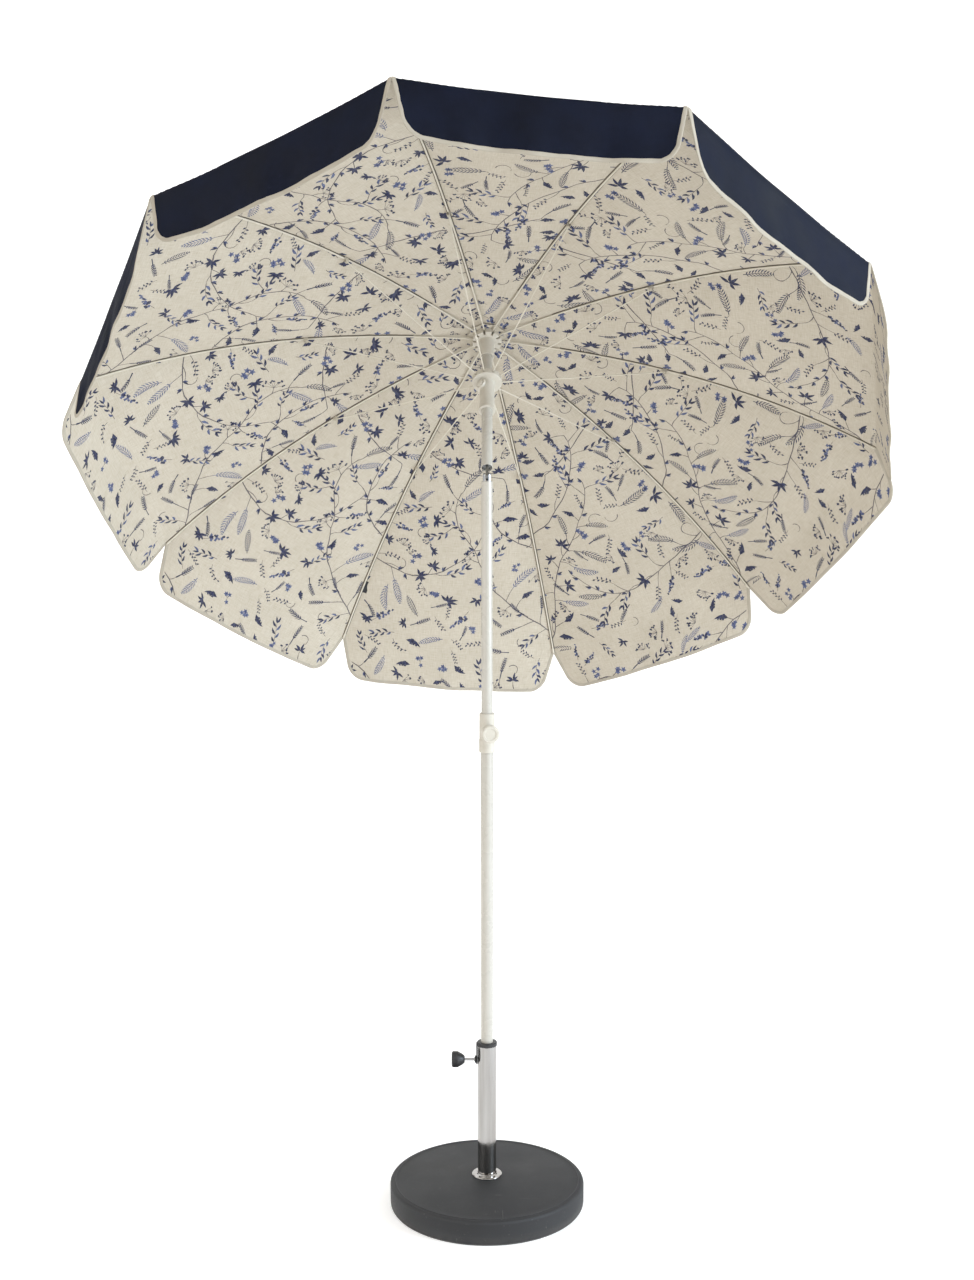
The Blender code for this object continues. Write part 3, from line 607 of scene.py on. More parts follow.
class Print:
    """Sprigs, leaves and stems drawn as outlines in a panel's flat pattern."""

    def __init__(self, seed):
        self.rng = random.Random(seed)
        self.shapes = []
        self.taken = []

    def add(self, points, tone):
        self.shapes.append((points, tone))

    def leaf(self, x, y, angle, length, width, bend=0.0, tone="dark", count=4):
        left, right = [], []
        step = length / count
        px, py = x, y
        for k in range(count + 1):
            s = k / count
            a = angle + bend * s
            half = width / 2 * math.sin(math.pi * s**0.75)
            left.append((px - half * math.sin(a), py + half * math.cos(a)))
            right.append((px + half * math.sin(a), py - half * math.cos(a)))
            px, py = px + step * math.cos(a), py + step * math.sin(a)
        self.add(left + right[-2:0:-1], tone)

    def dot(self, x, y, radius, tone="dark", sides=4):
        turn = self.rng.uniform(0, 6)
        points = []
        for k in range(sides):
            a = turn + 2 * math.pi * k / sides
            r = radius * self.rng.uniform(0.8, 1.2)
            points.append((x + r * math.cos(a), y + r * math.sin(a)))
        self.add(points, tone)

    def line(self, points, start, end, tone="stem"):
        left, right = [], []
        last = len(points) - 1
        for k, (x, y) in enumerate(points):
            ax, ay = points[max(k - 1, 0)]
            bx, by = points[min(k + 1, last)]
            size = math.hypot(bx - ax, by - ay) or 1
            nx, ny = -(by - ay) / size, (bx - ax) / size
            half = (start + (end - start) * k / last) / 2 * self.rng.uniform(0.75, 1.25)
            left.append((x + nx * half, y + ny * half))
            right.append((x - nx * half, y - ny * half))
        self.add(left + right[::-1], tone)

    def curve(self, x, y, angle, length, bend, count=7, wobble=0.1):
        """Points of a stem that turns by bend over its length, and its last heading."""
        points = [(x, y)]
        a = angle
        for _ in range(count):
            a += bend / count + self.rng.uniform(-wobble, wobble)
            x, y = x + length / count * math.cos(a), y + length / count * math.sin(a)
            points.append((x, y))
        return points, a

    @staticmethod
    def steps(points, start=1):
        """Each point from the start on, with its index and the heading that leads to it."""
        for k in range(start, len(points)):
            (ax, ay), (bx, by) = points[k - 1], points[k]
            yield k, bx, by, math.atan2(by - ay, bx - ax)

    def fern(self, x, y, angle, size):
        length = 0.062 * size
        tone = self.rng.choice(("mid", "dark"))
        points, _ = self.curve(x, y, angle, length, self.rng.uniform(-0.9, 0.9), 10, 0.03)
        self.line(points[::2], 0.0018, 0.0010, tone)
        for k, bx, by, a in self.steps(points):
            s = k / (len(points) - 1)
            reach = 0.0145 * size * math.sin(math.pi * (0.12 + 0.80 * s))
            for side in (-1, 1):
                self.leaf(bx, by, a + side * 0.8, reach, 0.0028 * size, -side * 0.5, tone, 2)

    def feather(self, x, y, angle, size, tone="dark"):
        length = 0.048 * size
        points, _ = self.curve(x, y, angle, length, self.rng.uniform(-0.5, 0.5), 9, 0.02)
        self.line(points[::3], 0.0028, 0.0012, tone)
        for k, bx, by, a in self.steps(points, 3):
            s = (k - 2) / (len(points) - 2)
            reach = 0.0105 * size * math.sin(math.pi * (0.25 + 0.6 * s))
            for side in (-1, 1):
                self.leaf(bx, by, a + side * 0.55, reach, 0.0028 * size, side * 0.2, tone, 2)

    def spike(self, x, y, angle, size):
        """A flower spike of small crowded florets."""
        length = 0.052 * size
        points, _ = self.curve(x, y, angle, length, self.rng.uniform(-0.4, 0.4), 9, 0.04)
        self.line(points[:4], 0.0013, 0.0010)
        for k in range(3, len(points)):
            px, py = points[k]
            s = (k - 3) / (len(points) - 4)
            spread = 0.0068 * size * (1 - 0.65 * s)
            for _ in range(4 if s < 0.7 else 2):
                dx, dy = self.rng.uniform(-1, 1) * spread, self.rng.uniform(-1, 1) * spread
                tone = self.rng.choice(("mid", "mid", "dark"))
                self.dot(px + dx, py + dy, 0.0036 * size * (1 - 0.35 * s), tone)

    def buds(self, x, y, angle, size):
        """A sparse spray of small separate buds."""
        length = 0.042 * size
        points, _ = self.curve(x, y, angle, length, self.rng.uniform(-0.8, 0.8), 9, 0.05)
        self.line(points, 0.0011, 0.0007)
        for k in range(2, len(points)):
            px, py = points[k]
            a = angle + self.rng.uniform(0.7, 1.3) * (1 if k % 2 else -1)
            self.leaf(px, py, a, 0.0080 * size, 0.0044 * size, 0.2, "dark", 2)

    def cluster(self, x, y, angle, size):
        """Broad pointed leaves about one point."""
        count = self.rng.randint(5, 7)
        for k in range(count):
            a = angle + (k / (count - 1) - 0.5) * 3.6 + self.rng.uniform(-0.15, 0.15)
            long = 0.0210 * size * self.rng.uniform(0.7, 1.1)
            self.leaf(x, y, a, long, 0.0066 * size, self.rng.uniform(-0.5, 0.5), "dark", 3)
        self.dot(x, y, 0.0022 * size, "mid")

    def lobed(self, x, y, angle, size):
        """A deeply lobed leaf."""
        length = 0.036 * size
        bend = self.rng.choice((-0.8, 0.8))
        self.leaf(x, y, angle, length, 0.0092 * size, bend, "dark", 5)
        for k in (1, 2, 3):
            s = k / 4.6
            a = angle + bend * s
            back = a - bend * s / 2
            px, py = x + length * s * math.cos(back), y + length * s * math.sin(back)
            for side in (-1, 1):
                long = 0.0130 * size * (1.05 - 0.22 * k)
                self.leaf(px, py, a + side * 0.85, long, 0.0064 * size, -side * 0.7, "dark", 2)

    def umbel(self, x, y, angle, size):
        """A round head of dots on fine stalks."""
        count = self.rng.randint(7, 9)
        for k in range(count):
            a = angle + (k / (count - 1) - 0.5) * 2.7
            long = 0.019 * size * self.rng.uniform(0.75, 1.1)
            points, _ = self.curve(x, y, a, long, self.rng.uniform(-0.3, 0.3), 2, 0.05)
            self.line(points, 0.0009, 0.0007)
            ex, ey = points[-1]
            for _ in range(2):
                jx, jy = self.rng.uniform(-1, 1) * 0.0030, self.rng.uniform(-1, 1) * 0.0030
                self.dot(ex + jx * size, ey + jy * size, 0.0026 * size, "dark")

    def blossom(self, x, y, angle, size):
        """Four or five small round flowers, close together."""
        for _ in range(self.rng.randint(4, 5)):
            cx = x + self.rng.uniform(-0.011, 0.011) * size
            cy = y + self.rng.uniform(-0.011, 0.011) * size
            self.line([(x, y), ((x + cx) / 2 + 0.001, (y + cy) / 2), (cx, cy)], 0.0011, 0.0008)
            turn = self.rng.uniform(0, 6)
            star = []
            for k in range(10):
                a, r = turn + math.pi * k / 5, (0.0074 if k % 2 else 0.0036) * size
                star.append((cx + r * math.cos(a), cy + r * math.sin(a)))
            self.add(star, "mid")
            self.dot(cx, cy, 0.0014 * size, "dark")

    def willow(self, x, y, angle, size):
        """A stem with long curved leaves on alternate sides."""
        points, a = self.curve(x, y, angle, 0.050 * size, self.rng.uniform(-0.9, 0.9), 6, 0.06)
        self.line(points, 0.0014, 0.0009)
        for k, px, py, along in self.steps(points):
            side = 1 if k % 2 else -1
            long = 0.019 * size * self.rng.uniform(0.75, 1.1)
            tone = "dark" if self.rng.random() < 0.6 else "mid"
            self.leaf(px, py, along + side * 0.8, long, 0.0056 * size, -side * 0.7, tone, 3)
        self.leaf(*points[-1], a, 0.016 * size, 0.0046 * size, 0.3, "dark", 3)

    def tendril(self, x, y, angle, size):
        points, _ = self.curve(x, y, angle, 0.045 * size, self.rng.choice((-3.2, 3.2)), 8, 0.03)
        self.line(points, 0.0022, 0.0010)

    def free(self, x, y, radius):
        if abs(x) > side_x(y) + 0.012 or y < 0.035 or y > RIM_Y + FLAP_H + 0.01:
            return False
        return all(math.hypot(x - a, y - b) > radius + r for a, b, r in self.taken)

    MOTIFS = (
        ("fern", 0.031), ("spike", 0.026), ("cluster", 0.014), ("lobed", 0.018), ("umbel", 0.013),
        ("blossom", 0.010), ("willow", 0.025), ("feather", 0.024), ("buds", 0.021), ("tendril", 0.016),
    )

    def sprig(self, x, y, angle, size):
        """Draws a motif if its middle has room. The offset is from its foot to its middle."""
        name, reach = self.rng.choice(self.MOTIFS)
        size *= PRINT_SCALE
        reach *= size
        cx, cy = x + reach * math.cos(angle), y + reach * math.sin(angle)
        room = {"fern": 0.017, "spike": 0.016, "cluster": 0.017, "willow": 0.019}.get(name, 0.015)
        if not self.free(cx, cy, room * size):
            return False
        getattr(self, name)(x, y, angle, size)
        self.taken.append((cx, cy, room * size))
        return True

    def branch(self, x, y, angle, length, bend):
        """A long winding stem with shoots to both sides."""
        count = max(6, int(length / 0.020))
        points, _ = self.curve(x, y, angle, length, bend, count, 0.22)
        inside = [p for p in points if p[1] > 0.03]
        if len(inside) < 4:
            return
        self.line(inside, 0.0028, 0.0018)
        for k, bx, by, along in self.steps(inside):
            side = 1 if k % 2 else -1
            self.taken.append((bx, by, 0.004))
            if self.rng.random() < 0.82:
                a = along + side * self.rng.uniform(0.6, 1.1)
                size = self.rng.uniform(0.75, 1.0)
                long = self.rng.uniform(0.014, 0.040)
                stem, end = self.curve(bx, by, a, long, self.rng.uniform(-0.9, 0.9), 4, 0.1)
                if self.sprig(*stem[-1], end, size):
                    self.line(stem, 0.0020, 0.0014)
                elif self.rng.random() < 0.8:
                    self.leaf(bx, by, a, 0.018, 0.0062, -side * 0.6, "dark", 3)
                    self.leaf(bx, by, a + side * 0.5, 0.014, 0.0050, -side * 0.6, "mid", 3)

    def fill(self, branches, extra):
        for start in branches:
            self.branch(*start)
        for _ in range(extra):
            y = self.rng.uniform(0.05, RIM_Y + FLAP_H)
            x = self.rng.uniform(-1, 1) * side_x(y)
            self.sprig(x, y, self.rng.uniform(0, 2 * math.pi), self.rng.uniform(0.65, 1.0))
        return self.shapes


# ---------------------------------------------------------------- canopy panels

CLOTH, STEM, MID_TONE, DARK, SEAM_TAPE_SHADOW, OUTSIDE, ROSETTE = range(7)
GRID = 0.0155


def grid_rows():
    """Heights in the flat pattern at which the grid has a row."""
    rows = list(np.linspace(Y_EYE, Y_EYE + 0.05, 6))
    rows += list(np.linspace(rows[-1], RIM_Y - 0.009, int(RIM_Y / GRID)))[1:]
    return rows + [RIM_Y - 0.006, RIM_Y - 0.002, RIM_Y]


def outline_drops():
    """The x positions along the flap's lower edge, from one side to the other."""
    side = [RIM_HALF - FLAP_CORNER_R * (1 - math.cos(a)) for a in np.linspace(0, math.pi / 2, 9)]
    run = list(np.linspace(side[-1], 0, 14))[1:]
    xs = side + run
    return xs


def covers(outline, x, y):
    """Whether points lie inside an outline, from the edges to their right."""
    inside = np.zeros(len(x), bool)
    for (ax, ay), (bx, by) in zip(outline, outline[1:] + outline[:1]):
        if ay != by:
            crossing = ax + (bx - ax) * (y - ay) / (by - ay)
            inside ^= ((ay > y) != (by > y)) & (x < crossing)
    return inside


class Pattern:
    """One printed layout of a panel: its inside and outside triangles in the flat pattern."""

    BANDS = 14
    SNAP = 2e-6

    def __init__(self, shapes):
        rows = grid_rows()
        self.seam = [(float(side_x(y)), y) for y in rows]
        self.seam[-1] = (RIM_HALF, RIM_Y)
        self.points, self.known = [], {}
        self.tris, self.tone, self.halves = [], [], {-1: [], 1: []}
        shapes = [s for s in shapes if self.allowed(s[0])]
        cuts = sorted({round(k * (len(rows) - 1) / self.BANDS) for k in range(self.BANDS + 1)})
        self.grid = []
        for half in (-1, 1):
            for a, b in zip(cuts, cuts[1:]):
                self.add_tile(half, self.band(rows[a : b + 1]), self.band_grid(rows[a : b + 1]), shapes)
            self.add_tile(half, self.flap_outline(), self.flap_grid(), shapes)
        self.points = np.array(self.points)
        self.find_edges()
        self.make_outside()

    @staticmethod
    def allowed(outline):
        for x, y in outline:
            if y < 0.030 or math.hypot(abs(x) - RIM_HALF, y - RIM_Y) < 0.012:
                return False
        return True

    @staticmethod
    def inset(y):
        wide = float(side_x(y))
        return wide - min(SEAM_W, 0.45 * wide)

    def band(self, rows):
        right = [(self.inset(y), y) for y in rows]
        return [(0.0, rows[0]), *right, (0.0, rows[-1])]

    def band_grid(self, rows):
        out = []
        for y in rows:
            wide = self.inset(y)
            count = max(1, int(wide / GRID))
            out += [(wide * k / count, y) for k in range(count)]
        return out

    def flap_outline(self):
        hang = [(RIM_HALF, RIM_Y + d) for d in (0.0025, 0.006, *FLAP_SIDE_DROPS)]
        low = [(x, RIM_Y + float(flap_drop(x))) for x in outline_drops()]
        return [(0.0, RIM_Y), (self.inset(RIM_Y), RIM_Y), (RIM_HALF, RIM_Y), *hang, *low]

    def flap_grid(self):
        wide = self.inset(RIM_Y)
        count = max(1, int(wide / GRID))
        out = [(wide * k / count, RIM_Y) for k in range(count)]
        for d in (0.002, 0.006, *FLAP_SIDE_DROPS, 0.070, 0.088, 0.102):
            for k in range(count):
                x = RIM_HALF * k / count
                if d < flap_drop(x) - 0.004:
                    out.append((x, RIM_Y + d))
        return out

    def index_of(self, x, y):
        """The index of a point, which tiles that meet share."""
        kx, ky = math.floor(x / self.SNAP), math.floor(y / self.SNAP)
        for i in (0, -1, 1):
            for j in (0, -1, 1):
                found = self.known.get((kx + i, ky + j))
                if found is not None:
                    return found
        self.known[kx, ky] = len(self.points)
        self.points.append((x, y))
        return len(self.points) - 1

    def add_tile(self, half, outline, grid, shapes):
        """Cuts one tile of a half panel along the print's outlines."""
        outline = [(half * x, y) for x, y in outline]
        grid = [(half * x, y) for x, y in grid]
        self.grid += grid
        xs, ys = [p[0] for p in outline], [p[1] for p in outline]
        low, high = (min(xs), min(ys)), (max(xs), max(ys))
        points = outline + grid
        edges = [(k, (k + 1) % len(outline)) for k in range(len(outline))]
        here = []
        for shape, tone in shapes:
            sx, sy = [p[0] for p in shape], [p[1] for p in shape]
            if max(sx) < low[0] or min(sx) > high[0] or max(sy) < low[1] or min(sy) > high[1]:
                continue
            start, count = len(points), len(shape)
            points += shape
            edges += [(start + k, start + (k + 1) % count) for k in range(count)]
            here.append((shape, {"stem": STEM, "mid": MID_TONE, "dark": DARK}[tone]))
        verts, _, tris = delaunay_2d_cdt([Vector(p) for p in points], edges, [], 0, TINY, False)[:3]
        flat = np.array([tuple(v) for v in verts])
        middle = flat[np.array([tuple(t) for t in tris])].mean(1)
        kept = covers(outline, middle[:, 0], middle[:, 1])
        tones = np.full(len(tris), CLOTH)
        for shape, tone in here:
            tones[covers(shape, middle[:, 0], middle[:, 1]) & (tones < tone)] = tone
        index = {}
        for tri, keep, tone in zip(tris, kept, tones):
            if not keep:
                continue
            corners = []
            for v in tri:
                if v not in index:
                    index[v] = self.index_of(*verts[v])
                corners.append(index[v])
            if len(set(corners)) == 3:
                self.halves[half].append(len(self.tris))
                self.tris.append(tuple(corners))
                self.tone.append(int(tone))

    def find_edges(self):
        """The open edges of each half: -1 for x below 0, 1 above."""
        self.edges = {}
        for half, members in self.halves.items():
            seen = set()
            for index in members:
                a, b, c = self.tris[index]
                seen.update(((a, b), (b, c), (c, a)))
            self.edges[half] = sorted(e for e in seen if (e[1], e[0]) not in seen)

    def on_inset(self, edge):
        """True for an open edge that runs along the seam's inset, which the tape strip (partly painted
        shadow beside the rib) meets.
        """
        (ax, ay), (bx, by) = self.points[edge[0]], self.points[edge[1]]
        if max(ay, by) > RIM_Y + TINY or max(abs(ax), abs(bx)) < TINY:
            return False
        if max(ay, by) < Y_EYE + TINY:
            return False
        tip = abs(ay - RIM_Y) < TINY and abs(by - RIM_Y) < TINY
        return not (tip and max(abs(ax), abs(bx)) > RIM_HALF - TINY)

    def make_outside(self):
        """Plainer triangles for the outside face, which share the open edges' points."""
        used = {}
        points, edges = [], []

        def index_of(p):
            key = (round(float(p[0]), 7), round(float(p[1]), 7))
            if key not in used:
                used[key] = len(points)
                points.append((float(p[0]), float(p[1])))
            return used[key]

        for half in (-1, 1):
            for edge in self.edges[half]:
                if not self.on_inset(edge) and not self.at_tip(edge):
                    edges.append((index_of(self.points[edge[0]]), index_of(self.points[edge[1]])))
        for sign in (-1, 1):
            chain = [index_of((sign * x, y)) for x, y in self.seam]
            edges += list(zip(chain, chain[1:]))
        for p in self.grid:
            index_of(p)
        made = delaunay_2d_cdt([Vector(p) for p in points], edges, [], 0, TINY, True)
        verts, _, tris = made[:3]
        self.out_points = np.array([tuple(v) for v in verts])
        self.out_tris = []
        for tri in tris:
            x, y = self.out_points[list(tri)].mean(0)
            if self.inside(abs(x), y):
                self.out_tris.append(tuple(tri))

    def at_tip(self, edge):
        (ax, ay), (bx, by) = self.points[edge[0]], self.points[edge[1]]
        level = abs(ay - RIM_Y) < TINY and abs(by - RIM_Y) < TINY
        return level and max(abs(ax), abs(bx)) > RIM_HALF - TINY

    def inside(self, x, y):
        if y <= RIM_Y:
            ys = [p[1] for p in self.seam]
            return y > Y_EYE and x < np.interp(y, ys, [p[0] for p in self.seam]) - TINY
        xs = outline_drops()[::-1]
        drop = np.interp(x, xs, [float(flap_drop(v)) for v in xs])
        return x < RIM_HALF and y - RIM_Y < drop - TINY


class Shell:
    """Collects points and faces of one cloth segment."""

    def __init__(self):
        self.points, self.flat, self.faces, self.looks = [], [], [], []
        self.known = {}

    def vertex(self, key, place, flat):
        """The index of a point, made once for each key."""
        if key not in self.known:
            self.known[key] = len(self.points)
            self.points.append(tuple(place))
            self.flat.append((flat[0], flat[1], 0.0))
        return self.known[key]

    def face(self, corners, look):
        corners = list(dict.fromkeys(corners))
        if len(corners) > 2:
            self.faces.append(corners)
            self.looks.append(look)


def rib_normal(number, y):
    """The cloth's outward direction along a rib's seam, in the row frame."""
    slope = np.gradient(cloth_height(_reach), _reach)
    tilt = np.arctan(np.interp(y, Y_EYE + _length, slope))
    h = heading(number)
    local = np.stack([-np.sin(tilt) * math.cos(h), -np.sin(tilt) * math.sin(h), np.cos(tilt)], -1)
    return local @ np.array(HEAD.to_3x3()).T


def add_half(shell, panel, pattern, half, number):
    """One half of a panel, from its middle to rib number, inside and outside."""
    place = panel.point(pattern.points[:, 0], pattern.points[:, 1])
    normal = panel.normal(pattern.points[:, 0], pattern.points[:, 1])
    outer = panel.point(pattern.out_points[:, 0], pattern.out_points[:, 1])
    outer_normal = panel.normal(pattern.out_points[:, 0], pattern.out_points[:, 1])
    seam = np.array([(half * x, y) for x, y in pattern.seam])
    seam_place = panel.point(seam[:, 0], seam[:, 1])
    seam_normal = rib_normal(number, seam[:, 1])
    seam_out = {(round(float(x), 6), round(float(y), 6)): k for k, (x, y) in enumerate(seam)}
    tip = len(seam) - 1

    def on_tip(i):
        x, y = pattern.points[i]
        return abs(y - RIM_Y) < TINY and abs(x) > RIM_HALF - TINY

    def inner_at(i):
        if on_tip(i):
            return seam_at(tip, "in")
        return shell.vertex((half, "in", i), place[i], pattern.points[i])

    def seam_at(k, side):
        lift = seam_normal[k] * CLOTH_T if side == "out" else 0
        flat = (RIM_HALF - seam[k][0] * half, seam[k][1])
        return shell.vertex(("seam", side, k), seam_place[k] + lift, flat)

    def outer_at(x, y, spot, n):
        key = (round(float(x), 6), round(float(y), 6))
        if key in seam_out:
            return seam_at(seam_out[key], "out")
        return shell.vertex((half, "out", key), spot + n * CLOTH_T, (x, y))

    for index in pattern.halves[half]:
        tri = pattern.tris[index]
        shell.face([inner_at(i) for i in reversed(tri)], pattern.tone[index])
    inset = set()
    for edge in pattern.edges[half]:
        if pattern.on_inset(edge):
            inset.update(edge)
            continue
        if pattern.at_tip(edge):
            continue
        spots = []
        for i in edge:
            spot = place[i], normal[i]
            out = seam_at(tip, "out") if on_tip(i) else outer_at(*pattern.points[i], *spot)
            spots.append((inner_at(i), out))
        shell.face([spots[0][0], spots[1][0], spots[1][1], spots[0][1]], OUTSIDE)
    chain = sorted(inset, key=lambda i: pattern.points[i][1])
    left = [(pattern.points[i][1], i) for i in chain]
    right = [(seam[k][1], k) for k in range(tip + 1)]
    eye = chain[0]
    eye_out = outer_at(*pattern.points[eye], place[eye], normal[eye])
    shell.face([inner_at(eye), seam_at(0, "in"), seam_at(0, "out"), eye_out], OUTSIDE)
    a = b = 0
    while a < len(left) - 1 or b < len(right) - 1:
        left_ends, right_ends = a == len(left) - 1, b == len(right) - 1
        move_left = right_ends or (not left_ends and left[a + 1][0] <= right[b + 1][0])
        # the band beside the rib gets the dark tape look: partly seam tape, partly painted shadow of
        # the rib
        look = SEAM_TAPE_SHADOW if right[b][0] > SEAM_SHADOW_START_Y else CLOTH
        near, far = inner_at(left[a][1]), right[b][1]
        if move_left:
            a += 1
            corners = [near, inner_at(left[a][1]), seam_at(far, "in")]
        else:
            b += 1
            corners = [near, seam_at(right[b][1], "in"), seam_at(far, "in")]
        shell.face(corners, look)
    for tri in pattern.out_tris:
        if (pattern.out_points[list(tri), 0].mean() > 0) != (half > 0):
            continue
        corners = [outer_at(*pattern.out_points[i], outer[i], outer_normal[i]) for i in tri]
        shell.face(corners, OUTSIDE)


def make_petal(bm, number):
    """This segment's share of the printed disc between ribs and canopy, at the crown."""
    radius, low, thick, last = 0.047, 0.4424, 0.0007, 6
    rows = []
    for r in (0.0175, 0.028, 0.038, radius):
        row = []
        for k in range(last + 1):
            a = heading(number) + STEP * (k / last - 0.5)
            swing = math.cos(10 * (a - heading(number)))
            reach = r * (1 + (0.03 * swing if r == radius else 0))
            height = low + 0.0008 * swing * (r / radius) ** 4 - 0.02 * max(0, r - 0.03)
            row.append((reach * math.cos(a), reach * math.sin(a), height))
        rows.append(row)
    sides = []
    for lift in (0, thick):
        grid = []
        for row in rows:
            grid.append([bm.verts.new(HEAD @ Vector((x, y, w + lift))) for x, y, w in row])
        sides.append(grid)
    for face in thin_sheet(bm, *sides):
        face.material_index = ROSETTE


def make_binding(number, panels, body):
    """The folded tape that edges both half flaps of a segment."""
    bm = bmesh.new()
    section = [(-0.0009, -0.0011), (-0.0014, 0), (-0.0009, 0.0011), (0.001, 0.0015)]
    section += [(0.0050, 0.0015), (0.0070, 0.0011), (0.0070, -0.0011), (0.0050, -0.0015)]
    section.append((0.001, -0.0015))
    for half, panel in panels:
        flat = [(RIM_HALF, RIM_Y + d) for d in (-0.0005, 0.003, 0.008, *FLAP_SIDE_DROPS)]
        flat += [(x, RIM_Y + float(flap_drop(x))) for x in outline_drops()]
        flat = np.array([(half * x, y) for x, y in flat])
        place = panel.point(flat[:, 0], flat[:, 1])
        normal = panel.normal(flat[:, 0], flat[:, 1])
        place = place + normal * (CLOTH_T / 2)
        rings = []
        for k in range(len(flat)):
            along = place[min(k + 1, len(flat) - 1)] - place[max(k - 1, 0)]
            along /= np.linalg.norm(along)
            inward = np.cross(normal[k], along)
            middle = panel.point(flat[k, 0] * 0.9, np.array(RIM_Y + 0.03)) - place[k]
            inward *= np.sign(inward @ middle)
            wave = 1 + 0.06 * math.sin(2.1 * k + number)
            spots = [place[k] + inward * a * wave + normal[k] * b for a, b in section]
            rings.append([bm.verts.new(spot) for spot in spots])
        bridge(bm, rings, capped=True)
    made = new_object(f"hem_{number:02d}", finished(bm, "hem"), body, 60)
    made.data.materials.append(LOOKS["binding"])
    return made


def make_segment(number, patterns):
    body = f"rib_arm_{number:02d}"
    before = (number - 2) % RIB_COUNT + 1
    halves = [(-1, PANELS[number]), (1, PANELS[before])]
    shell = Shell()
    for half, panel in halves:
        add_half(shell, panel, patterns[LAYOUT[panel.number]], half, number)
    mesh = bpy.data.meshes.new("cloth")
    mesh.from_pydata(shell.points, [], shell.faces)
    mesh.polygons.foreach_set("material_index", shell.looks)
    flat = mesh.attributes.new("flat", "FLOAT_VECTOR", "POINT")
    flat.data.foreach_set("vector", [c for p in shell.flat for c in p])
    bm = bmesh.new()
    bm.from_mesh(mesh)
    make_petal(bm, number)
    bmesh.ops.recalc_face_normals(bm, faces=bm.faces)
    bm.to_mesh(mesh)
    bm.free()
    for key in ("inside", "ink_stem", "ink_mid", "ink_dark", "tape", "outside", "rosette"):
        mesh.materials.append(LOOKS[key])
    made = new_object(f"cloth_{number:02d}", mesh, body, 50)
    hem = make_binding(number, halves, body)
    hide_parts(f"canopy_{number:02d}")
    for piece in (made, hem):
        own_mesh(piece)


# ---------------------------------------------------------------- ribs

def rib_path(number, start, end, count, drop=0.0):
    reach = np.linspace(start, end, count)
    h = heading(number)
    local = np.stack([reach * math.cos(h), reach * math.sin(h), HUB_W - fall(reach) - drop], -1)
    return [Vector(p) for p in to_world(local)]


def make_rib(number):
    """A round wire rib with its stretcher bracket, pin and end cap."""
    h = heading(number)
    side = HEAD.to_3x3() @ Vector((-math.sin(h), math.cos(h), 0))
    bm = bmesh.new()
    sweep(bm, rib_path(number, HINGE_R, RIB_REACH - 0.004, 44), circle(RIB_R, 12), side)
    cap = rib_path(number, RIB_REACH - 0.012, RIB_REACH, 7)
    sizes = (0.0026, 0.0029, 0.0029, 0.0029, 0.0027, 0.0021, 0.0008)
    rings = []
    for k, size in enumerate(sizes):
        along = (cap[min(k + 1, 6)] - cap[max(k - 1, 0)]).normalized()
        up = along.cross(side).normalized()
        rings.append([bm.verts.new(cap[k] + side * a + up * b) for a, b in circle(size, 12)])
    bridge(bm, rings, capped=True)
    joint = rib_path(number, JOINT_REACH - 0.001, JOINT_REACH + 0.001, 2)
    along = (joint[1] - joint[0]).normalized()
    up = (HEAD.to_3x3() @ Vector((0, 0, 1))).normalized()
    up = (up - along * up.dot(along)).normalized()
    centre = (joint[0] + joint[1]) / 2
    for sign in (-1, 1):
        plate = []
        for k in range(20):
            a = 2 * math.pi * k / 20
            u, v = 0.0052 * math.cos(a), 0.0050 * math.sin(a)
            v += -JOINT_DROP + 0.0008 if v < 0 else 0.0005
            plate.append((u, v))
        face = []
        for off in (0.0022, 0.0028):
            spots = [centre + along * u + up * v + side * sign * off for u, v in plate]
            face.append([bm.verts.new(spot) for spot in spots])
        bridge(bm, face, capped=True)
    pin = [centre - up * JOINT_DROP + side * s for s in (-0.0038, -0.0034, 0.0034, 0.0038)]
    rings = []
    for spot, size in zip(pin, (0.0012, 0.0017, 0.0017, 0.0012)):
        rings.append([bm.verts.new(spot + along * a + up * b) for a, b in circle(size, 10)])
    bridge(bm, rings, capped=True)
    body = f"rib_arm_{number:02d}"
    made = new_object(f"rib_wire_{number:02d}", finished(bm, "rib"), body)
    made.data.materials.append(LOOKS["cream_metal"])
    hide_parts(f"rib_{number:02d}")


def make_tab():
    """The small dark cloth tab sewn beside one rib."""
    number, reach, wide, long = 7, 0.775, 0.011, 0.028
    h = heading(number)
    bm = bmesh.new()
    side = np.array([-math.sin(h), math.cos(h), 0])
    sheets = []
    for lift in (0.0, 0.0009):
        grid = []
        for j in range(6):
            r = reach + long * (j / 5 - 0.5)
            row = []
            for k in range(4):
                across = 0.0030 + wide * k / 3
                curl = 0.0016 * (j / 5) ** 2 + 0.0010 * (k / 3) ** 2
                height = float(cloth_height(np.array(r))) - (0.0012 + curl + lift)
                spot = np.array([r * math.cos(h), r * math.sin(h), height])
                row.append(bm.verts.new(Vector(to_world(spot - side * across))))
            grid.append(row)
        sheets.append(grid)
    thin_sheet(bm, *sheets)
    made = new_object("side_tab", finished(bm, "tab"), f"rib_arm_{number:02d}")
    made.data.materials.append(LOOKS["dark_tape"])


# ---------------------------------------------------------------- base and mast

def dome(r):
    """Height of the base's top at this radius."""
    return BASE_RIM_H + BASE_DOME_H * (1 - (r / BASE_R) ** 2)


def turned(name, node, profile, steps, body, slot, place=Matrix.Identity(4), radius=0.0006):
    """A turned piece that replaces one CAD node. radius rounds its corners."""
    made = new_object(name, lathe(profile, steps, place, radius), body, 40)
    made.data.materials.append(LOOKS[slot])
    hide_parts(node)


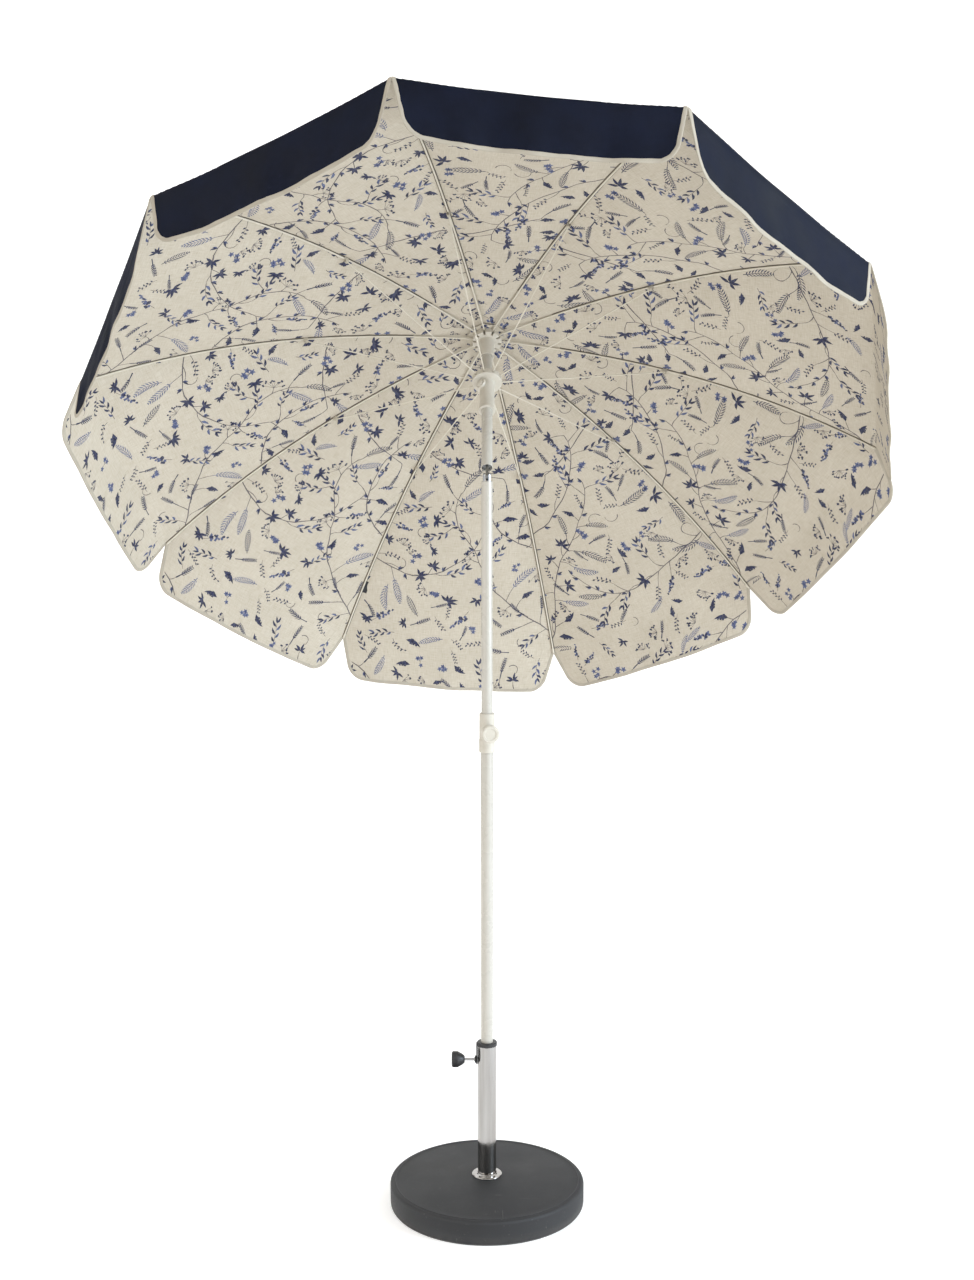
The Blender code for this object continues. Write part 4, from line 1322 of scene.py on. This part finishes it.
def make_base():
    edge = 0.007
    flat = BASE_R - edge
    hole = TUBE_R + GAP
    skirt = BASE_R - 0.0008
    top = [(hole, dome(hole))] + [(r, dome(r)) for r in np.linspace(0.030, 0.2105, 14)]
    bead = ((0.2112, 0.0002), (0.2120, 0.0010), (0.2129, 0.0010), (0.2137, 0.0001))
    ridge = [(r, dome(r) + rise) for r, rise in bead]
    turn = [math.radians(a) for a in (90, 75, 60, 45, 30, 15, 0)]
    centre = (flat, dome(flat) - edge)
    side = [(centre[0] + edge * math.cos(a), centre[1] + edge * math.sin(a)) for a in turn]
    side += [(BASE_R, 0.030), (BASE_R, 0.0085), (skirt, 0.0075), (skirt, 0.0035)]
    side += [(BASE_R - 0.0030, 0.0)]
    inner = BASE_R - BASE_WALL
    under = [(inner, 0), (inner, dome(flat) - edge), (flat, dome(flat) - BASE_WALL)]
    under += [(r, dome(r) - BASE_WALL) for r in (0.16, 0.09, hole)]
    profile = top + ridge + side + under
    turned("base_cover", "base_shell", profile, 144, "stand", "base_plastic", radius=0)


def ring(outer, inner, low, high):
    return [(outer, low), (outer, high), (inner, high), (inner, low)]


def make_tubes():
    tube = ring(TUBE_R, TUBE_BORE_R, 0.0034, 0.379)
    turned("stand_tube", "base_tube", tube, 96, "stand", "chrome", radius=0.0005)
    low, hole, rim = dome(TUBE_R) + GAP, TUBE_R + GAP, 0.0350
    cover = [
        (hole, low + 0.0065), (0.0237, low + 0.0065), (0.0255, low + 0.0042),
        (0.0330, low + 0.0036), (rim, low + 0.0020), (rim, low), (hole, low),
    ]
    turned("tube_cover", "base_flange", cover, 96, "stand", "chrome", radius=0.0018)
    for name, node, outer, inner, low, high, body, place in (
        ("lower_tube", "lower_pole", LOWER_R, LOWER_BORE_R, 0.0118, 1.105, "lower_mast", None),
        ("middle_tube", "middle_pole", UPPER_R, UPPER_BORE_R, 0.62, 1.676, "middle_mast", None),
        ("upper_tube", "upper_pole", UPPER_R, UPPER_BORE_R, 0.027, 0.4445, "head", HEAD),
    ):
        pole = ring(outer, inner, low, high)
        place = place or Matrix.Identity(4)
        turned(name, node, pole, POLE_STEPS, body, "white_pole", place)
    cap = CROWN_CLOTH_W + CLOTH_T + GAP
    stem, foot = 0.0111, 0.4195
    finial = [
        (0, cap + 0.026), (0.005, cap + 0.025), (0.009, cap + 0.021), (0.010, cap + 0.016),
        (0.011, cap + 0.011), (0.022, cap + 0.006), (0.026, cap + 0.003), (0.026, cap),
        (stem, cap), (stem, foot), (0, foot),
    ]
    turned("top_cap", "finial", finial, POLE_STEPS, "head", "white_plastic", HEAD, 0.0025)


def dress_cad_nodes():
    """Gives every CAD node that stays its finish, and smooth shading over its turned faces."""
    for name, node in frame["nodes"].items():
        slot = SLOT_OF[name]
        look = LOOKS.get(slot, LOOKS["white_plastic"])
        node.data.materials.clear()
        node.data.materials.append(look)
        if node.hide_render:
            continue
        weld = node.modifiers.new("weld", "WELD")
        weld.merge_threshold = 0.00002
        node.data.polygons.foreach_set("use_smooth", [True] * len(node.data.polygons))
        split = node.modifiers.new("split", "EDGE_SPLIT")
        split.split_angle = math.radians(32)


# ---------------------------------------------------------------- scene

make_camera()
SLOT_OF = {part["node"]: part["material_slot"] for part in frame["record"]["subparts"]}
INKS = {
    "ink_stem": ((0.060, 0.052, 0.065), (0.14, 0.12, 0.13)),
    "ink_mid": ((0.040, 0.054, 0.135), (0.105, 0.13, 0.245)),
    "ink_dark": ((0.009, 0.012, 0.038), (0.030, 0.038, 0.095)),
}
LOOKS = {
    "inside": cloth_look("linen"),
    **{name: cloth_look(name, tones) for name, tones in INKS.items()},
    # dark taupe seam tape: partly painted shadow beside the ribs
    "tape": make_tape("seam_tape_and_painted_shadow", (0.165, 0.142, 0.110), (0.095, 0.082, 0.066)),
    "outside": make_outside_cloth(),
    "rosette": make_rosette_cloth(),
    "binding": make_tape("binding", (0.44, 0.40, 0.325), (0.35, 0.31, 0.25)),
    "dark_tape": make_tape("dark_tape", (0.012, 0.012, 0.014), (0.035, 0.034, 0.036)),
    "base_plastic": make_base_plastic(),
    "base_under": make_moulded("base_under", (0.05, 0.05, 0.05), (0.12, 0.115, 0.11), 0.6),
    "concrete": make_concrete(),
    "steel": make_metal("steel", (0.55, 0.55, 0.56), (0.30, 0.29, 0.28), 0.28),
    # chrome: the brownish dark streak tone is partly tarnish, partly painted reflection bands
    "chrome": make_metal("chrome", (0.46, 0.45, 0.44), (0.24, 0.215, 0.19), 0.06, (70, 70, 3), 0.08),
    "zinc": make_metal("zinc", (0.34, 0.35, 0.36), (0.16, 0.16, 0.165), 0.22, (90, 90, 12)),
    "black_plastic": make_moulded("black_plastic", (0.012, 0.012, 0.014), (0.06, 0.058, 0.055), 0.38),
    "white_plastic": make_moulded("white_plastic", (0.60, 0.565, 0.49), (0.50, 0.45, 0.37), 0.34, 0.12),
    "white_pole": make_paint("white_pole", (0.52, 0.495, 0.44), (0.43, 0.40, 0.34), 0.20, 0.5),
    "cream_metal": make_paint("cream_metal", (0.62, 0.575, 0.48), (0.46, 0.41, 0.32), 0.34, 0.2),
}
ROWS = grid_rows()
PANELS = {n: Panel(n) for n in range(1, RIB_COUNT + 1)}
LAYOUT = {n: "a" if n >= 6 else "b" for n in range(1, RIB_COUNT + 1)}


# Each printed layout: its seed and its long stems, as x, y, heading, length and bend.
LAYOUTS = {
    "a": (11, [
        (-0.27, 0.86, -0.55, 0.52, -0.9),
        (0.24, 0.66, 2.6, 0.42, 1.1),
        (-0.19, 0.62, -0.5, 0.34, -1.0),
        (0.10, 0.36, 2.4, 0.20, 0.8),
        (-0.24, 1.02, -0.1, 0.34, 0.5),
        (0.27, 0.98, 2.9, 0.30, -0.8),
    ]),
    "b": (23, [
        (0.27, 0.88, 3.7, 0.50, 0.9),
        (-0.25, 0.72, 0.4, 0.44, -1.2),
        (0.18, 0.58, 3.5, 0.34, 1.0),
        (-0.09, 0.34, 0.6, 0.18, -0.8),
        (0.25, 1.03, 3.2, 0.32, -0.5),
        (-0.27, 0.97, 0.2, 0.28, 0.8),
    ]),
}
SPRIG_TRIES = 900
PATTERNS = {}
for layout, (seed, stems) in LAYOUTS.items():
    PATTERNS[layout] = Pattern(Print(seed).fill(stems, SPRIG_TRIES))
for rib in range(1, RIB_COUNT + 1):
    make_segment(rib, PATTERNS)
    make_rib(rib)
make_tab()
make_base()
make_tubes()
dress_cad_nodes()


def make_stage():
    """A pale floor that curves up far behind the object, all round."""
    level, flat, bend, top, steps = -0.0005, 5.5, 5.0, 16.0, 96
    profile = [(0.001, level)] + [(r, level) for r in np.linspace(1, flat, 6)]
    for k in range(1, 13):
        a = math.pi / 2 * k / 12
        profile.append((flat + bend * math.sin(a), bend - bend * math.cos(a) + level))
    profile.append((flat + bend, top))
    bm = bmesh.new()
    rings = []
    for r, h in profile:
        rings.append([bm.verts.new((x, y, h)) for x, y in circle(r, steps)])
    bridge(bm, rings)
    mesh = finished(bm, "floor")
    floor = bpy.data.objects.new("floor", mesh)
    bpy.context.scene.collection.objects.link(floor)
    mesh.shade_smooth()
    look = Look("pale_floor", Roughness=0.9)
    look.set("Base Color", (0.86, 0.86, 0.86))
    look.set("Emission Color", (1.0, 0.99, 0.97))
    look.set("Emission Strength", 0.42)
    floor.data.materials.append(look.made)


def make_card(name, at, width, height, colour):
    """An upright matt card, hidden from the camera, for the shiny parts to mirror."""
    bm = bmesh.new()
    facing = math.atan2(at[1], at[0])
    side = Vector((-math.sin(facing), math.cos(facing), 0)) * width / 2
    low = Vector((at[0], at[1], 0.02))
    rise = Vector((0, 0, height))
    corners = (low - side, low + side, low + side + rise, low - side + rise)
    bm.faces.new([bm.verts.new(p) for p in corners])
    card = bpy.data.objects.new(name, finished(bm, name))
    bpy.context.scene.collection.objects.link(card)
    look = Look(name, Roughness=0.9)
    look.set("Base Color", colour)
    card.data.materials.append(look.made)
    card.visible_camera = False


make_stage()
make_card("card_left", (-3.3, 2.2), 1.7, 3.2, (0.02, 0.02, 0.022))
make_card("card_right", (3.4, 2.2), 1.7, 3.2, (0.02, 0.02, 0.022))
make_card("card_front", (-0.9, -5.7), 4.6, 3.4, (0.07, 0.050, 0.036))
bpy.context.scene.view_settings.view_transform = "Standard"
bpy.context.scene.view_settings.look = "None"
world = bpy.data.worlds.new("studio")
bpy.context.scene.world = world
world.use_nodes = True
world.node_tree.nodes["Background"].inputs["Color"].default_value = (1.0, 0.98, 0.95, 1)
world.node_tree.nodes["Background"].inputs["Strength"].default_value = 0.44
add_light("window", (4.6, -1.9, 2.2), (0, 0.1, 1.6), (1.6, 2.6), 210, (0.72, 0.86, 1.0))
add_light("room", (-3.6, -3.4, 2.2), (0, 0.1, 1.4), (2.5, 2.5), 20, (1.0, 0.90, 0.76))
